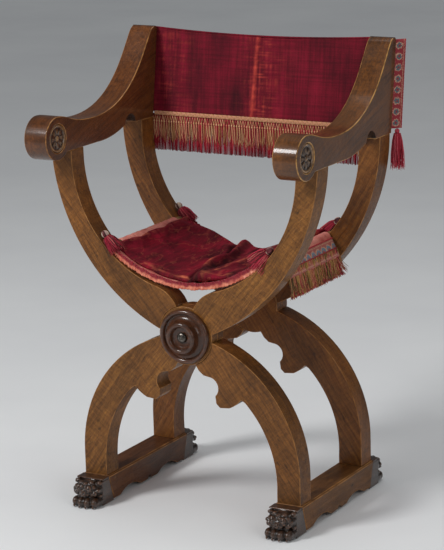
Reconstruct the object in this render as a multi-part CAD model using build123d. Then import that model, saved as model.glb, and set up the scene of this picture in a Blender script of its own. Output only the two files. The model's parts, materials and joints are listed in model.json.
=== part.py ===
"""Folding X-frame armchair of the Dante type, in walnut with a slung velvet seat and back.

Two mirrored halves cross at a pivot in the front frame and at one in the rear frame.
Half A carries the right arm and the left foot rail, half B the left arm and the right foot rail.

X is the sitter's side to side, -Y is the front and +Z is up. All sizes are in millimetres.
The chair is drawn about its folding axis, so a height counts from that axis unless its name says
otherwise, and it is moved to its own origin, on the floor under its middle, at the end.
"""

import os
from math import asin, atan2, cos, degrees, radians, sin

from build123d import *

# ---------------------------------------------------------------- driving dimensions

PIVOT_HEIGHT = 377.0  # folding axis above the floor
FRAME_DEPTH = 318.0  # outside of the front frame to the outside of the rear frame
BOARD = 46.0  # thickness of every crossing member
CLOSING_ANGLE = 34.0  # how far the chair folds

# Crossing of two members: a round halving
KNUCKLE_RADIUS = 60.0
KNUCKLE_GAP = 0.5  # round the halving
LAP_GAP = 0.4  # between the two halved cheeks
SHOULDER_SPARE = 1.5  # left at each shoulder when the chair is folded, in degrees
WAIST_HALF = 8.0  # half height of the round edge that shows at each side of the crossing

# Upper part of a member, right side
ARM_SEAT_FRONT = 356.0  # where the front member meets its arm
ARM_SEAT_REAR = 373.0
TOP_INNER = 252.0  # edges of the member at its arm
TOP_OUTER = 300.0
SEAT_ARC_CENTRE = (-5.0, 343.0)  # of the round inner edge that holds the seat
SEAT_ARC_RADIUS = 257.0
SEAT_ARC_MID = 183.0  # a height half way along it
SHOULDER_MID = (37.0, 81.0)
SHOULDER_OUT = (62.0, 94.5)  # where the round inner edge turns down to the crossing
OUTER_MID = (217.0, 132.0)  # a point on the long outer curve

# Leg with its shaped bracket, right side
LEG_INNER = 198.0
LEG_OUTER = 250.0
LEG_STRAIGHT_OUT = -267.0  # where the outer edge of the leg turns upright
LEG_STRAIGHT_IN = -302.0
LEG_OUTER_MID = (188.6, -95.0)
LEG_INNER_MID = (176.0, -187.0)
LEG_ARCH_TOP = (131.0, -123.0)
BRACKET_CUSP = (122.0, -118.0)
BRACKET_HOLLOW_MID = (109.0, -130.0)
BRACKET_FOOT_OUT = (95.0, -138.0)
BRACKET_FOOT_IN = (74.0, -140.0)
BRACKET_TOE = (65.5, -132.0)
BRACKET_LIP = (63.5, -116.5)
BRACKET_NOTCH_MID = (70.5, -98.0)
BRACKET_NOTCH_TOP = (50.0, -79.0)
BRACKET_NOSE = (38.0, -77.0)
BRACKET_THROAT = (27.0, -68.0)
THROAT_INSET = 4.0  # of the bracket's inner end within the halving

# Arms: each is one board, with a scroll in front and the back post behind
ARM_INNER = 251.0
ARM_WIDTH = 52.0
SCROLL_AHEAD = 46.0  # of the scroll's centre in front of the frame
SCROLL_HEIGHT = 387.5
SCROLL_RADIUS = 43.8
ARM_DIP = [(9.0, 419.5), (84.0, 410.0), (159.0, 419.5)]  # behind the frame's front, height
ARM_SWEEP = [(94.0, 450.5), (44.0, 496.5), (7.0, 545.0)]  # ahead of the frame's rear, height
CREST_TOP = (17.0, 563.0)  # behind the frame's rear, height
CREST_EAR = (23.5, 560.5)
CREST_REAR = (25.0, 555.0)
COVE_AHEAD = 92.0  # of the round notch's centre, in front of the frame's rear
COVE_RADIUS = 21.0
BELLY_MID = (41.0, 361.0)  # ahead of the cove's front, height
BELLY_END = 99.0  # of the flat underside, behind the frame's front
SCROLL_NECK = 19.0  # where the underside leaves the scroll, ahead of the frame's front
ROUNDEL_RADIUS = 29.0
ROUNDEL_DEPTH = 4.0

# Foot rails, with heights above the floor
RAIL_WIDTH = 62.0
RAIL_TOP = 58.0
RAIL_CLEAR = 4.0  # underside of the rail above the floor
RAIL_CHAMFER = 3.0
RAIL_ARCH_NEAR = 34.0  # from the middle of the rail to the near end of each arch
RAIL_ARCH_FAR = 116.0
RAIL_ARCH_RISE = 12.0
RAIL_NOTCH = 7.0
RAIL_JOINT_LEAN = 17.0  # how far the joint with the paw leans back at the floor

# Lion paws, with heights above the floor
PAW_CAP_REACH = 28.0  # ahead of the frame
PAW_CAP_THICKNESS = 7.0
PAW_CAP_LIP = 4.0
PAW_NECK = 4.0
PAW_MANE_REACH = 50.0
PAW_MANE_HEIGHT = 36.0
PAW_GROOVE_REACH = 46.0
PAW_GROOVE_HEIGHT = 21.0
PAW_CORNER = 14.0
TOE_REACH = 60.0
TOE_COUNT = 4
TOE_RADIUS = 11.0
TOE_SPREAD = 1.5  # of the outer toes beyond the sides of the block
TOE_SINK = 1.5  # below the floor line, cut flat
TOE_NOSE_RADIUS = 24.0  # of the curve that rounds their tips
TOE_NOSE_HEIGHT = 3.0

# Tenons, dowels and pegs
TENON_WIDTH = 28.0
TENON_CHEEK = 13.0  # of the board left on each side of a tenon
TENON_LENGTH = 32.0
TENON_CLEARANCE = 0.15
TENON_END_GAP = 1.0
PEG_RADIUS = 3.0
PEG_DROP = 10.0  # below the top of the foot rail
PEG_CLEARANCE = 0.05
DOWEL_RADIUS = 6.0
DOWEL_HEIGHT = 13.0  # above the floor
DOWEL_IN_RAIL = 22.0
DOWEL_IN_PAW = 24.0

# Pivot pins and their turned bosses
PIN_RADIUS = 7.0
PIN_FIT = 0.02  # in the parts that hold it
PIN_RUNNING = 0.06  # in the member that turns on it
PIN_HEAD_RADIUS = 10.5
PIN_HEAD_HEIGHT = 7.0
BOSS_RADIUS = 55.0
BOSS_RIM_HEIGHT = 10.0
BOSS_RING_RADIUS = 30.0
BOSS_HEIGHT = 24.0
BOSS_WELL_RADIUS = 20.0
BOSS_WELL_HEIGHT = 13.0

# Seat: rails, sling and cushion
SEAT_RAIL_ANGLE = 45.0  # below the centre of the round inner edge
SEAT_RAIL_RADIUS = 9.0
SEAT_RAIL_INSET = 2.0  # of the rail's middle into the wood
SEAT_RAIL_HOUSING = 21.0  # depth of each end in its member
SEAT_RAIL_BED = 0.3
SLING_THICKNESS = 2.5
SLING_FIT = 0.3
SLING_RADIUS = 261.0  # of the curve it hangs in
SLING_FRONT_HALF = 152.0  # half width between the members
SLING_FRONT_SETBACK = 9.0
FLAP_ANGLE = 25.5  # of the side flap from the upright
FLAP_LENGTH = 46.0
FLAP_SETBACK = 4.0  # from each frame
TRIM_THICKNESS = 2.0
TRIM_FIT = 0.05
SEAT_GALLOON_WIDTH = 30.0
SEAT_FRINGE_LENGTH = 40.0
CUSHION_HALF = 150.0
CUSHION_DEPTH = 276.0
CUSHION_THICKNESS = 28.0
CUSHION_EDGE = 10.0
CUSHION_LIFT = 0.4
TASSEL_ANGLE = 41.5  # along the round inner edge, as the rail's
TASSEL_RADIUS = 9.0
TASSEL_LENGTH = 38.0
TASSEL_GAP = 3.0  # ahead of the seat rail's end
TASSEL_HEAD = 0.6  # width of a tassel's head, as a share of its skirt's
TASSEL_SIDES = 8

# Back cloth
BACK_TOP = 559.0
BACK_BOTTOM = 381.0
BACK_THICKNESS = 4.0
BACK_FIT = 0.3
BACK_END_INSET = 3.0  # of the flat cloth within the arm's outer side
BACK_FLAP = 20.0
BACK_FLAP_ANGLE = 45.0
BACK_FRINGE_LENGTH = 80.0
BACK_FRINGE_HALF = 292.0
BACK_FRINGE_THICKNESS = 6.0
BACK_TASSEL_LENGTH = 78.0
BACK_TASSEL_RADIUS = 10.0
BACK_TASSEL_INSET = 9.0

# Upholstery nails
NAIL_COUNT = 5
NAIL_INSET = 14.0  # of the row from the arm's inner side
NAIL_MARGIN = 12.0  # of its ends from the edges of the cloth
NAIL_HEAD_RADIUS = 5.0
NAIL_HEAD_HEIGHT = 2.6
NAIL_SHANK = 2.2  # side of the square shank
NAIL_LENGTH = 15.0
NAIL_FIT = 0.02
NAIL_CLOTH_FIT = 0.1

# ---------------------------------------------------------------- derived values

FLOOR = -PIVOT_HEIGHT
HALF_DEPTH = FRAME_DEPTH / 2
FRAME_MIDDLE = HALF_DEPTH - BOARD / 2
SHOULDER_ANGLE = CLOSING_ANGLE / 2 + SHOULDER_SPARE  # of each shoulder from the upright
WAIST_ANGLE = degrees(asin(WAIST_HALF / KNUCKLE_RADIUS))
ARM_OUTER = ARM_INNER + ARM_WIDTH
TOP_MIDDLE = (TOP_INNER + TOP_OUTER) / 2
LEG_MIDDLE = (LEG_INNER + LEG_OUTER) / 2
RAIL_SEAT = FLOOR + RAIL_TOP
RAIL_INNER = LEG_MIDDLE - RAIL_WIDTH / 2
RAIL_OUTER = LEG_MIDDLE + RAIL_WIDTH / 2

STANDING = (Align.CENTER, Align.CENTER, Align.MIN)
HANGING = (Align.CENTER, Align.CENTER, Align.MAX)

parts = {}


# ---------------------------------------------------------------- drawing helpers


def closed(*edges):
    return make_face(Wire(list(edges)))


def polygon(*points):
    return make_face(Polyline(*points, close=True))


def upright(face, start, depth):
    """Prism of a face drawn in X and Z, from Y = start over depth."""
    return extrude(Plane.XZ.offset(-start) * face, -depth)


def sideways(face, start, width):
    """Prism of a face drawn in Y and Z, from X = start over width."""
    return extrude(Plane.YZ.offset(start) * face, width)


def block(x, y, z):
    """Box from pairs of limits."""
    body = Box(x[1] - x[0], y[1] - y[0], z[1] - z[0])
    return Pos((x[0] + x[1]) / 2, (y[0] + y[1]) / 2, (z[0] + z[1]) / 2) * body


def rod(start, direction, radius, length):
    """Round bar that begins at start."""
    bar = Cylinder(radius, length, align=STANDING)
    return Plane(origin=start, z_dir=direction) * bar


def on_circle(radius, angle):
    """Point about the origin, at an angle from the upright."""
    return (radius * sin(radians(angle)), radius * cos(radians(angle)))


def mirrored(shape):
    """The same piece on the other side of the chair."""
    return mirror(shape, about=Plane.YZ)


def at_rear(shape):
    """The same piece on the rear frame."""
    return mirror(shape, about=Plane.XZ)


def add_pair(name, right):
    """Right piece and its mirror image on the left."""
    parts[f"{name}_right"] = right
    parts[f"{name}_left"] = mirrored(right)


# ---------------------------------------------------------------- crossing members


def seat_arc_point(height):
    """Point of the round inner edge at a height."""
    rise = height - SEAT_ARC_CENTRE[1]
    return (SEAT_ARC_CENTRE[0] + (SEAT_ARC_RADIUS**2 - rise**2) ** 0.5, height)


def upper_branch(arm_seat):
    """Right upper branch, from the crossing to the arm."""
    shoulder = on_circle(KNUCKLE_RADIUS, SHOULDER_ANGLE)
    waist = on_circle(KNUCKLE_RADIUS, 90 - WAIST_ANGLE)
    arc_top = (TOP_INNER, SEAT_ARC_CENTRE[1])
    return closed(
        ThreePointArc(shoulder, SHOULDER_MID, SHOULDER_OUT),
        ThreePointArc(SHOULDER_OUT, seat_arc_point(SEAT_ARC_MID), arc_top),
        Line(arc_top, (TOP_INNER, arm_seat)),
        Line((TOP_INNER, arm_seat), (TOP_OUTER, arm_seat)),
        ThreePointArc((TOP_OUTER, arm_seat), OUTER_MID, waist),
        Line(waist, shoulder),
    )


def lower_branch():
    """Right leg with its bracket, from the crossing to the foot rail."""
    waist = on_circle(KNUCKLE_RADIUS, 90 + WAIST_ANGLE)
    throat = on_circle(KNUCKLE_RADIUS - THROAT_INSET, 180 - SHOULDER_ANGLE)
    return closed(
        ThreePointArc(waist, LEG_OUTER_MID, (LEG_OUTER, LEG_STRAIGHT_OUT)),
        Line((LEG_OUTER, LEG_STRAIGHT_OUT), (LEG_OUTER, RAIL_SEAT)),
        Line((LEG_OUTER, RAIL_SEAT), (LEG_INNER, RAIL_SEAT)),
        Line((LEG_INNER, RAIL_SEAT), (LEG_INNER, LEG_STRAIGHT_IN)),
        ThreePointArc((LEG_INNER, LEG_STRAIGHT_IN), LEG_INNER_MID, LEG_ARCH_TOP),
        Line(LEG_ARCH_TOP, BRACKET_CUSP),
        ThreePointArc(BRACKET_CUSP, BRACKET_HOLLOW_MID, BRACKET_FOOT_OUT),
        Line(BRACKET_FOOT_OUT, BRACKET_FOOT_IN),
        Line(BRACKET_FOOT_IN, BRACKET_TOE),
        Line(BRACKET_TOE, BRACKET_LIP),
        ThreePointArc(BRACKET_LIP, BRACKET_NOTCH_MID, BRACKET_NOTCH_TOP),
        Line(BRACKET_NOTCH_TOP, BRACKET_NOSE),
        Line(BRACKET_NOSE, BRACKET_THROAT),
        Line(BRACKET_THROAT, throat),
        Line(throat, waist),
    )


def tenon(x, shoulder, direction, spare, end_gap):
    """Tenon of a front member, up or down from its shoulder, or the pocket for it."""
    near = shoulder - direction * end_gap
    far = shoulder + direction * (TENON_LENGTH + end_gap)
    half_width = TENON_WIDTH / 2 + spare
    half_thickness = BOARD / 2 - TENON_CHEEK + spare
    return block(
        (x - half_width, x + half_width),
        (-FRAME_MIDDLE - half_thickness, -FRAME_MIDDLE + half_thickness),
        (min(near, far), max(near, far)),
    )


def mortise(x, shoulder, direction):
    return tenon(x, shoulder, direction, TENON_CLEARANCE, TENON_END_GAP)


def crossing_member(arm_seat, outer_cheek):
    """Front member from the right arm to the left foot.

    Its halved cheek is the outer one, nearest the front, or the inner one.
    """
    front = -HALF_DEPTH
    cheek = (BOARD - LAP_GAP) / 2
    rest = BOARD - cheek
    cheek_start = front if outer_cheek else front + rest
    rest_start = front + cheek if outer_cheek else front
    branches = Sketch() + upper_branch(arm_seat) + mirror(lower_branch(), about=Plane.YZ)
    halved = upright(branches + Circle(KNUCKLE_RADIUS), cheek_start, cheek)
    full = upright(branches - Circle(KNUCKLE_RADIUS + KNUCKLE_GAP), rest_start, rest)
    upper_tenon = tenon(TOP_MIDDLE, arm_seat, 1, 0, 0)
    lower_tenon = mirrored(tenon(LEG_MIDDLE, RAIL_SEAT, -1, 0, 0))
    return halved + full + upper_tenon + lower_tenon


def pin_hole(radius):
    """Hole for the pivot pin through the front frame."""
    return rod((0, -HALF_DEPTH - BOSS_HEIGHT, 0), (0, 1, 0), radius, BOARD + 2 * BOSS_HEIGHT)


def leg_peg(x_side, radius):
    """Peg through the foot rail and the front leg's tenon, on the side of x_side."""
    start = (x_side * RAIL_INNER, -FRAME_MIDDLE, RAIL_SEAT - PEG_DROP)
    return rod(start, (x_side, 0, 0), radius, RAIL_WIDTH)


SEAT_RAIL_REACH = SEAT_ARC_RADIUS + SEAT_RAIL_INSET
SEAT_RAIL_X = SEAT_ARC_CENTRE[0] + SEAT_RAIL_REACH * cos(radians(SEAT_RAIL_ANGLE))
SEAT_RAIL_Z = SEAT_ARC_CENTRE[1] - SEAT_RAIL_REACH * sin(radians(SEAT_RAIL_ANGLE))
SEAT_RAIL_HALF = HALF_DEPTH - BOARD + SEAT_RAIL_HOUSING


def seat_rail(spare):
    """Right seat rail, or with a spare the housings that it beds in."""
    half = SEAT_RAIL_HALF + spare
    return rod((SEAT_RAIL_X, -half, SEAT_RAIL_Z), (0, 1, 0), SEAT_RAIL_RADIUS + spare, 2 * half)


held = PIN_RADIUS + PIN_FIT
turning = PIN_RADIUS + PIN_RUNNING
housing = seat_rail(SEAT_RAIL_BED)
peg_hole = PEG_RADIUS + PEG_CLEARANCE
for frame, arm_seat, place in (
    ("front", ARM_SEAT_FRONT, lambda shape: shape),
    ("rear", ARM_SEAT_REAR, at_rear),
):
    member_a = crossing_member(arm_seat, True) - pin_hole(held) - leg_peg(-1, peg_hole)
    member_b = mirrored(crossing_member(arm_seat, False)) - pin_hole(turning) - leg_peg(1, peg_hole)
    parts[f"{frame}_member_a"] = place(member_a) - housing
    parts[f"{frame}_member_b"] = place(member_b) - mirrored(housing)


# ---------------------------------------------------------------- upholstery nails of the back

POST_LEAN = CREST_REAR[0] / (CREST_REAR[1] - ARM_SEAT_REAR)


def back_face(height):
    """Y of the cloth's front, behind the leaning post."""
    return HALF_DEPTH + POST_LEAN * (height - ARM_SEAT_REAR) + BACK_FIT


def at_nail(height, piece):
    """Piece drawn about Z, set square on the back of the cloth where a nail of the right post goes."""
    start = (ARM_INNER + NAIL_INSET, back_face(height) + BACK_THICKNESS, height)
    return Plane(origin=start, x_dir=(1, 0, 0), z_dir=(0, 1, -POST_LEAN)) * piece


def nail_shank(height, spare):
    """Square shank of a nail, or with a spare the hole for it."""
    side = NAIL_SHANK + 2 * spare
    return at_nail(height, Box(side, side, NAIL_LENGTH, align=HANGING))


def nail(height):
    """Flat-headed nail through the back cloth into the right post."""
    head = Cylinder(NAIL_HEAD_RADIUS, NAIL_HEAD_HEIGHT, align=STANDING)
    return at_nail(height, head) + nail_shank(height, 0)


nail_step = (BACK_TOP - BACK_BOTTOM - 2 * NAIL_MARGIN) / (NAIL_COUNT - 1)
nail_heights = [BACK_BOTTOM + NAIL_MARGIN + number * nail_step for number in range(NAIL_COUNT)]


# ---------------------------------------------------------------- arms


def arm_profile():
    """Side view of an arm, in Y and Z, without the round of its scroll."""
    front = -HALF_DEPTH
    rear = HALF_DEPTH
    scroll = (front - SCROLL_AHEAD, SCROLL_HEIGHT)
    scroll_top = (scroll[0], scroll[1] + SCROLL_RADIUS)
    neck = (front - SCROLL_NECK, ARM_SEAT_FRONT)
    dip = [(front + y, z) for y, z in ARM_DIP]
    sweep = [(rear - y, z) for y, z in ARM_SWEEP]
    crest_top, crest_ear, crest_rear = [(rear + y, z) for y, z in (CREST_TOP, CREST_EAR, CREST_REAR)]
    foot = (rear, ARM_SEAT_REAR)
    cove = rear - COVE_AHEAD
    cove_front = (cove - COVE_RADIUS, ARM_SEAT_REAR)
    cove_rear = (cove + COVE_RADIUS, ARM_SEAT_REAR)
    belly_mid = (cove_front[0] - BELLY_MID[0], BELLY_MID[1])
    belly_end = (front + BELLY_END, ARM_SEAT_FRONT)
    return closed(
        Spline(scroll_top, *dip, *sweep, crest_top, tangents=((1, 0), (1, 0.15))),
        ThreePointArc(crest_top, crest_ear, crest_rear),
        Line(crest_rear, foot),
        Line(foot, cove_rear),
        ThreePointArc(cove_rear, (cove, ARM_SEAT_REAR + COVE_RADIUS), cove_front),
        ThreePointArc(cove_front, belly_mid, belly_end),
        Line(belly_end, neck),
        Line(neck, scroll),
        Line(scroll, scroll_top),
    )


def roundel(face_x, inward):
    """Round sinking for the rosette on one side of a scroll."""
    centre = (face_x, -HALF_DEPTH - SCROLL_AHEAD, SCROLL_HEIGHT)
    return rod(centre, (inward, 0, 0), ROUNDEL_RADIUS, ROUNDEL_DEPTH)


def arm():
    """Right arm with its back post."""
    scroll = Pos(-HALF_DEPTH - SCROLL_AHEAD, SCROLL_HEIGHT) * Circle(SCROLL_RADIUS)
    body = sideways(arm_profile() + scroll, ARM_INNER, ARM_WIDTH)
    body -= roundel(ARM_OUTER, -1) + roundel(ARM_INNER, 1)
    body -= mortise(TOP_MIDDLE, ARM_SEAT_FRONT, 1)
    body -= at_rear(mortise(TOP_MIDDLE, ARM_SEAT_REAR, 1))
    for height in nail_heights:
        body -= nail_shank(height, NAIL_FIT)
    return body


add_pair("arm", arm())


# ---------------------------------------------------------------- foot rails and paws


def rail_profile():
    """Side view of a foot rail, in Y and height above the floor, shaped underneath."""
    joint_foot = HALF_DEPTH - RAIL_JOINT_LEAN
    arch_middle = (RAIL_ARCH_NEAR + RAIL_ARCH_FAR) / 2
    arch = closed(
        ThreePointArc(
            (RAIL_ARCH_NEAR, RAIL_CLEAR),
            (arch_middle, RAIL_CLEAR + RAIL_ARCH_RISE),
            (RAIL_ARCH_FAR, RAIL_CLEAR),
        ),
        Line((RAIL_ARCH_FAR, RAIL_CLEAR), (RAIL_ARCH_NEAR, RAIL_CLEAR)),
    )
    outline = polygon(
        (-joint_foot, RAIL_CLEAR),
        (joint_foot, RAIL_CLEAR),
        (HALF_DEPTH, RAIL_TOP),
        (-HALF_DEPTH, RAIL_TOP),
    )
    notch = Pos(0, RAIL_CLEAR) * Circle(RAIL_NOTCH)
    return outline - arch - mirror(arch, about=Plane.YZ) - notch


def dowel(spare):
    """Dowel between the right foot rail and its front paw, or the hole for it."""
    joint = HALF_DEPTH - RAIL_JOINT_LEAN * (RAIL_TOP - DOWEL_HEIGHT) / (RAIL_TOP - RAIL_CLEAR)
    start = (LEG_MIDDLE, -joint - DOWEL_IN_PAW - spare, FLOOR + DOWEL_HEIGHT)
    return rod(start, (0, 1, 0), DOWEL_RADIUS + spare, DOWEL_IN_PAW + DOWEL_IN_RAIL + 2 * spare)


def foot_rail():
    """Right foot rail, between its paws."""
    body = Pos(0, 0, FLOOR) * sideways(rail_profile(), RAIL_INNER, RAIL_WIDTH)
    body = chamfer(body.edges().filter_by(Axis.Y).group_by(Axis.Z)[-1], RAIL_CHAMFER)
    front = mortise(LEG_MIDDLE, RAIL_SEAT, -1) + leg_peg(1, peg_hole) + dowel(PEG_CLEARANCE)
    return body - front - at_rear(front)


def paw_profile():
    """Side view of a front paw without its toes, in Y and height above the floor."""
    front = -HALF_DEPTH
    cap = front - PAW_CAP_REACH
    under_cap = RAIL_TOP - PAW_CAP_THICKNESS
    neck = cap + PAW_CAP_LIP
    mane_top = (neck, under_cap - PAW_NECK)
    mane = (front - PAW_MANE_REACH, PAW_MANE_HEIGHT)
    groove = (front - PAW_GROOVE_REACH, PAW_GROOVE_HEIGHT)
    return closed(
        Line((front, RAIL_TOP), (cap, RAIL_TOP)),
        Line((cap, RAIL_TOP), (cap, under_cap)),
        Line((cap, under_cap), (neck, under_cap)),
        Line((neck, under_cap), mane_top),
        ThreePointArc(mane_top, mane, groove),
        Line(groove, (groove[0], 0)),
        Line((groove[0], 0), (front + RAIL_JOINT_LEAN, 0)),
        Line((front + RAIL_JOINT_LEAN, 0), (front + RAIL_JOINT_LEAN, RAIL_CLEAR)),
        Line((front + RAIL_JOINT_LEAN, RAIL_CLEAR), (front, RAIL_TOP)),
    )


def paw():
    """Front right paw: a capped, bulging block over a row of toes."""
    reach = TOE_REACH + RAIL_JOINT_LEAN
    plan = Pos(LEG_MIDDLE, -HALF_DEPTH - TOE_REACH + reach / 2) * Rectangle(RAIL_WIDTH, reach)
    rounded = fillet(plan.vertices().group_by(Axis.Y)[0], PAW_CORNER)
    corners = extrude(plan - rounded, RAIL_TOP - PAW_CAP_THICKNESS)
    body = sideways(paw_profile(), RAIL_INNER, RAIL_WIDTH) - corners
    tip = -HALF_DEPTH - TOE_REACH
    first = RAIL_INNER - TOE_SPREAD + TOE_RADIUS
    pitch = (RAIL_WIDTH + 2 * TOE_SPREAD - 2 * TOE_RADIUS) / (TOE_COUNT - 1)
    nose = Pos(tip + TOE_NOSE_RADIUS, TOE_NOSE_HEIGHT) * Circle(TOE_NOSE_RADIUS)
    row = sideways(nose, RAIL_INNER - TOE_SPREAD, RAIL_WIDTH + 2 * TOE_SPREAD)
    for number in range(TOE_COUNT):
        start = (first + number * pitch, tip, TOE_RADIUS - TOE_SINK)
        body += rod(start, (0, 1, 0), TOE_RADIUS, TOE_NOSE_RADIUS) & row
    body -= block((0, ARM_OUTER), (-FRAME_DEPTH, 0), (-TOE_RADIUS, 0))
    return Pos(0, 0, FLOOR) * body - dowel(PEG_CLEARANCE)


def pair_of(shape):
    """A piece at the front and the same at the rear, in one group."""
    return Compound([*shape.solids(), *at_rear(shape).solids()])


add_pair("foot_rail", foot_rail())
add_pair("paw_front", paw())
add_pair("paw_rear", at_rear(paw()))
add_pair("paw_dowels", pair_of(dowel(0)))
add_pair("leg_pegs", pair_of(leg_peg(1, PEG_RADIUS)))


# ---------------------------------------------------------------- pivots


def turned(*points):
    """Piece turned from an outline of radii and heights, set on the face of the front frame."""
    solid = revolve(Plane.XZ * polygon(*points), Axis.Z)
    return Plane(origin=(0, -HALF_DEPTH, 0), x_dir=(1, 0, 0), z_dir=(0, -1, 0)) * solid


def boss():
    """Turned boss: a flat disc, a raised ring and a well for the pin's head."""
    return turned(
        (held, 0),
        (BOSS_RADIUS, 0),
        (BOSS_RADIUS, BOSS_RIM_HEIGHT),
        (BOSS_RING_RADIUS, BOSS_RIM_HEIGHT),
        (BOSS_RING_RADIUS, BOSS_HEIGHT),
        (BOSS_WELL_RADIUS, BOSS_HEIGHT),
        (BOSS_WELL_RADIUS, BOSS_WELL_HEIGHT),
        (held, BOSS_WELL_HEIGHT),
    )


def pivot_pin():
    """Pin of the front frame, with its head in the well of the boss."""
    head_top = BOSS_WELL_HEIGHT + PIN_HEAD_HEIGHT
    return turned(
        (0, -BOARD),
        (PIN_RADIUS, -BOARD),
        (PIN_RADIUS, BOSS_WELL_HEIGHT),
        (PIN_HEAD_RADIUS, BOSS_WELL_HEIGHT),
        (PIN_HEAD_RADIUS, head_top),
        (0, head_top),
    )


parts["boss_front"] = boss()
parts["boss_rear"] = at_rear(boss())
parts["pivot_pin_front"] = pivot_pin()
parts["pivot_pin_rear"] = at_rear(pivot_pin())


# ---------------------------------------------------------------- seat

HALF_CLOTH = SLING_THICKNESS / 2
SLEEVE_RADIUS = SEAT_RAIL_RADIUS + SLING_FIT + HALF_CLOTH
SLING_HALF_DEPTH = HALF_DEPTH - SLING_FRONT_SETBACK
FLAP_HALF_DEPTH = HALF_DEPTH - BOARD - FLAP_SETBACK

# The hanging cloth is an arc that touches the sleeves from above
SLING_SPREAD = degrees(asin(SEAT_RAIL_X / (SLING_RADIUS + SLEEVE_RADIUS)))
SLING_CENTRE = SEAT_RAIL_Z + (SLING_RADIUS + SLEEVE_RADIUS) * cos(radians(SLING_SPREAD))

# The flap leaves the sleeve on its outer side
FLAP_DOWN = Vector(sin(radians(FLAP_ANGLE)), -cos(radians(FLAP_ANGLE)))
FLAP_OUT = Vector(cos(radians(FLAP_ANGLE)), sin(radians(FLAP_ANGLE)))
FLAP_TOP = Vector(SEAT_RAIL_X, SEAT_RAIL_Z) + FLAP_OUT * SLEEVE_RADIUS
FLAP_END = FLAP_TOP + FLAP_DOWN * FLAP_LENGTH


def sag_point(radius, angle):
    """Point about the centre of the hanging arc, at an angle from straight below it."""
    return (radius * sin(radians(angle)), SLING_CENTRE - radius * cos(radians(angle)))


def hung_strip(half_width):
    """Section of the hanging cloth over a half width."""
    spread = degrees(asin(half_width / SLING_RADIUS))
    low = [sag_point(SLING_RADIUS + HALF_CLOTH, side * spread) for side in (-1, 0, 1)]
    high = [sag_point(SLING_RADIUS - HALF_CLOTH, side * spread) for side in (1, 0, -1)]
    return closed(ThreePointArc(*low), Line(low[2], high[0]), ThreePointArc(*high), Line(high[2], low[0]))


def between_frames(face):
    """Prism over the gap between the front and the rear frame."""
    return upright(face, -FLAP_HALF_DEPTH, 2 * FLAP_HALF_DEPTH)


def seat_sling():
    """Slung seat: one cloth with a sleeve about each rail and a flap outside it."""
    ring = Circle(SLEEVE_RADIUS + HALF_CLOTH) - Circle(SLEEVE_RADIUS - HALF_CLOTH)
    cloth = FLAP_OUT * HALF_CLOTH
    flap = polygon(FLAP_TOP - cloth, FLAP_TOP + cloth, FLAP_END + cloth, FLAP_END - cloth)
    side = Pos(SEAT_RAIL_X, SEAT_RAIL_Z) * ring + flap
    hung = hung_strip(SLING_RADIUS * sin(radians(SLING_SPREAD)))
    wide = between_frames(hung + side + mirror(side, about=Plane.YZ))
    return wide + upright(hung_strip(SLING_FRONT_HALF), -SLING_HALF_DEPTH, 2 * SLING_HALF_DEPTH)


def seat_galloon():
    """Galloon on the outside of the right flap."""
    low = FLAP_END + FLAP_OUT * (HALF_CLOTH + TRIM_FIT)
    high = low - FLAP_DOWN * SEAT_GALLOON_WIDTH
    out = FLAP_OUT * TRIM_THICKNESS
    return between_frames(polygon(low, low + out, high + out, high))


def seat_fringe():
    """Fringe that hangs from the lower edge of the right flap."""
    inner = FLAP_END - FLAP_OUT * HALF_CLOTH
    outer = FLAP_END + FLAP_OUT * (HALF_CLOTH + TRIM_THICKNESS)
    low = FLAP_END.Y - SEAT_FRINGE_LENGTH
    return between_frames(polygon(inner, (inner.X, low), (outer.X, low), outer))


def seat_cushion():
    """Thin cushion that lies in the sling, fuller in its middle."""
    radius = SLING_RADIUS - HALF_CLOTH - CUSHION_LIFT
    spread = degrees(asin(CUSHION_HALF / radius))
    left, low, right = [sag_point(radius, side * spread) for side in (-1, 0, 1)]
    top_left = (left[0], left[1] + CUSHION_EDGE)
    top_right = (right[0], right[1] + CUSHION_EDGE)
    face = closed(
        ThreePointArc(left, low, right),
        Line(right, top_right),
        ThreePointArc(top_right, (0, low[1] + CUSHION_THICKNESS), top_left),
        Line(top_left, left),
    )
    return upright(face, -CUSHION_DEPTH / 2, CUSHION_DEPTH)


def tassel(radius, length):
    """Plain eight-sided tassel that hangs down from the origin, narrow at its head."""
    narrowing = degrees(atan2(radius * (1 - TASSEL_HEAD), length))
    return Pos(0, 0, -length) * extrude(RegularPolygon(radius, TASSEL_SIDES), length, taper=narrowing)


def cushion_tassel():
    """Tassel of the cushion's front right corner, against the front member's inner edge."""
    clear = SEAT_ARC_RADIUS - SLING_FIT
    reach = (clear**2 - (TASSEL_LENGTH / 2) ** 2) ** 0.5 - TASSEL_RADIUS
    x = SEAT_ARC_CENTRE[0] + reach * cos(radians(TASSEL_ANGLE))
    z = SEAT_ARC_CENTRE[1] - reach * sin(radians(TASSEL_ANGLE))
    hanging = Pos(0, 0, TASSEL_LENGTH / 2) * tassel(TASSEL_RADIUS, TASSEL_LENGTH)
    y = -SEAT_RAIL_HALF - TASSEL_GAP - TASSEL_RADIUS
    return Pos(x, y, z) * Rot(0, TASSEL_ANGLE, 0) * hanging


add_pair("seat_rail", seat_rail(0))
parts["seat_sling"] = seat_sling()
add_pair("seat_galloon", seat_galloon())
add_pair("seat_fringe", seat_fringe())
parts["seat_cushion"] = seat_cushion()
add_pair("cushion_tassels", pair_of(cushion_tassel()))


# ---------------------------------------------------------------- back

BACK_END = ARM_OUTER - BACK_END_INSET
BACK_HEIGHT = BACK_TOP - BACK_BOTTOM


def leaning(plan):
    """Prism of a plan, drawn at the cloth's lower edge, along the lean of the posts."""
    along = Vector(0, POST_LEAN, 1)
    return extrude(Pos(0, back_face(BACK_BOTTOM), BACK_BOTTOM) * plan, BACK_HEIGHT * along.length, along)


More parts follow.
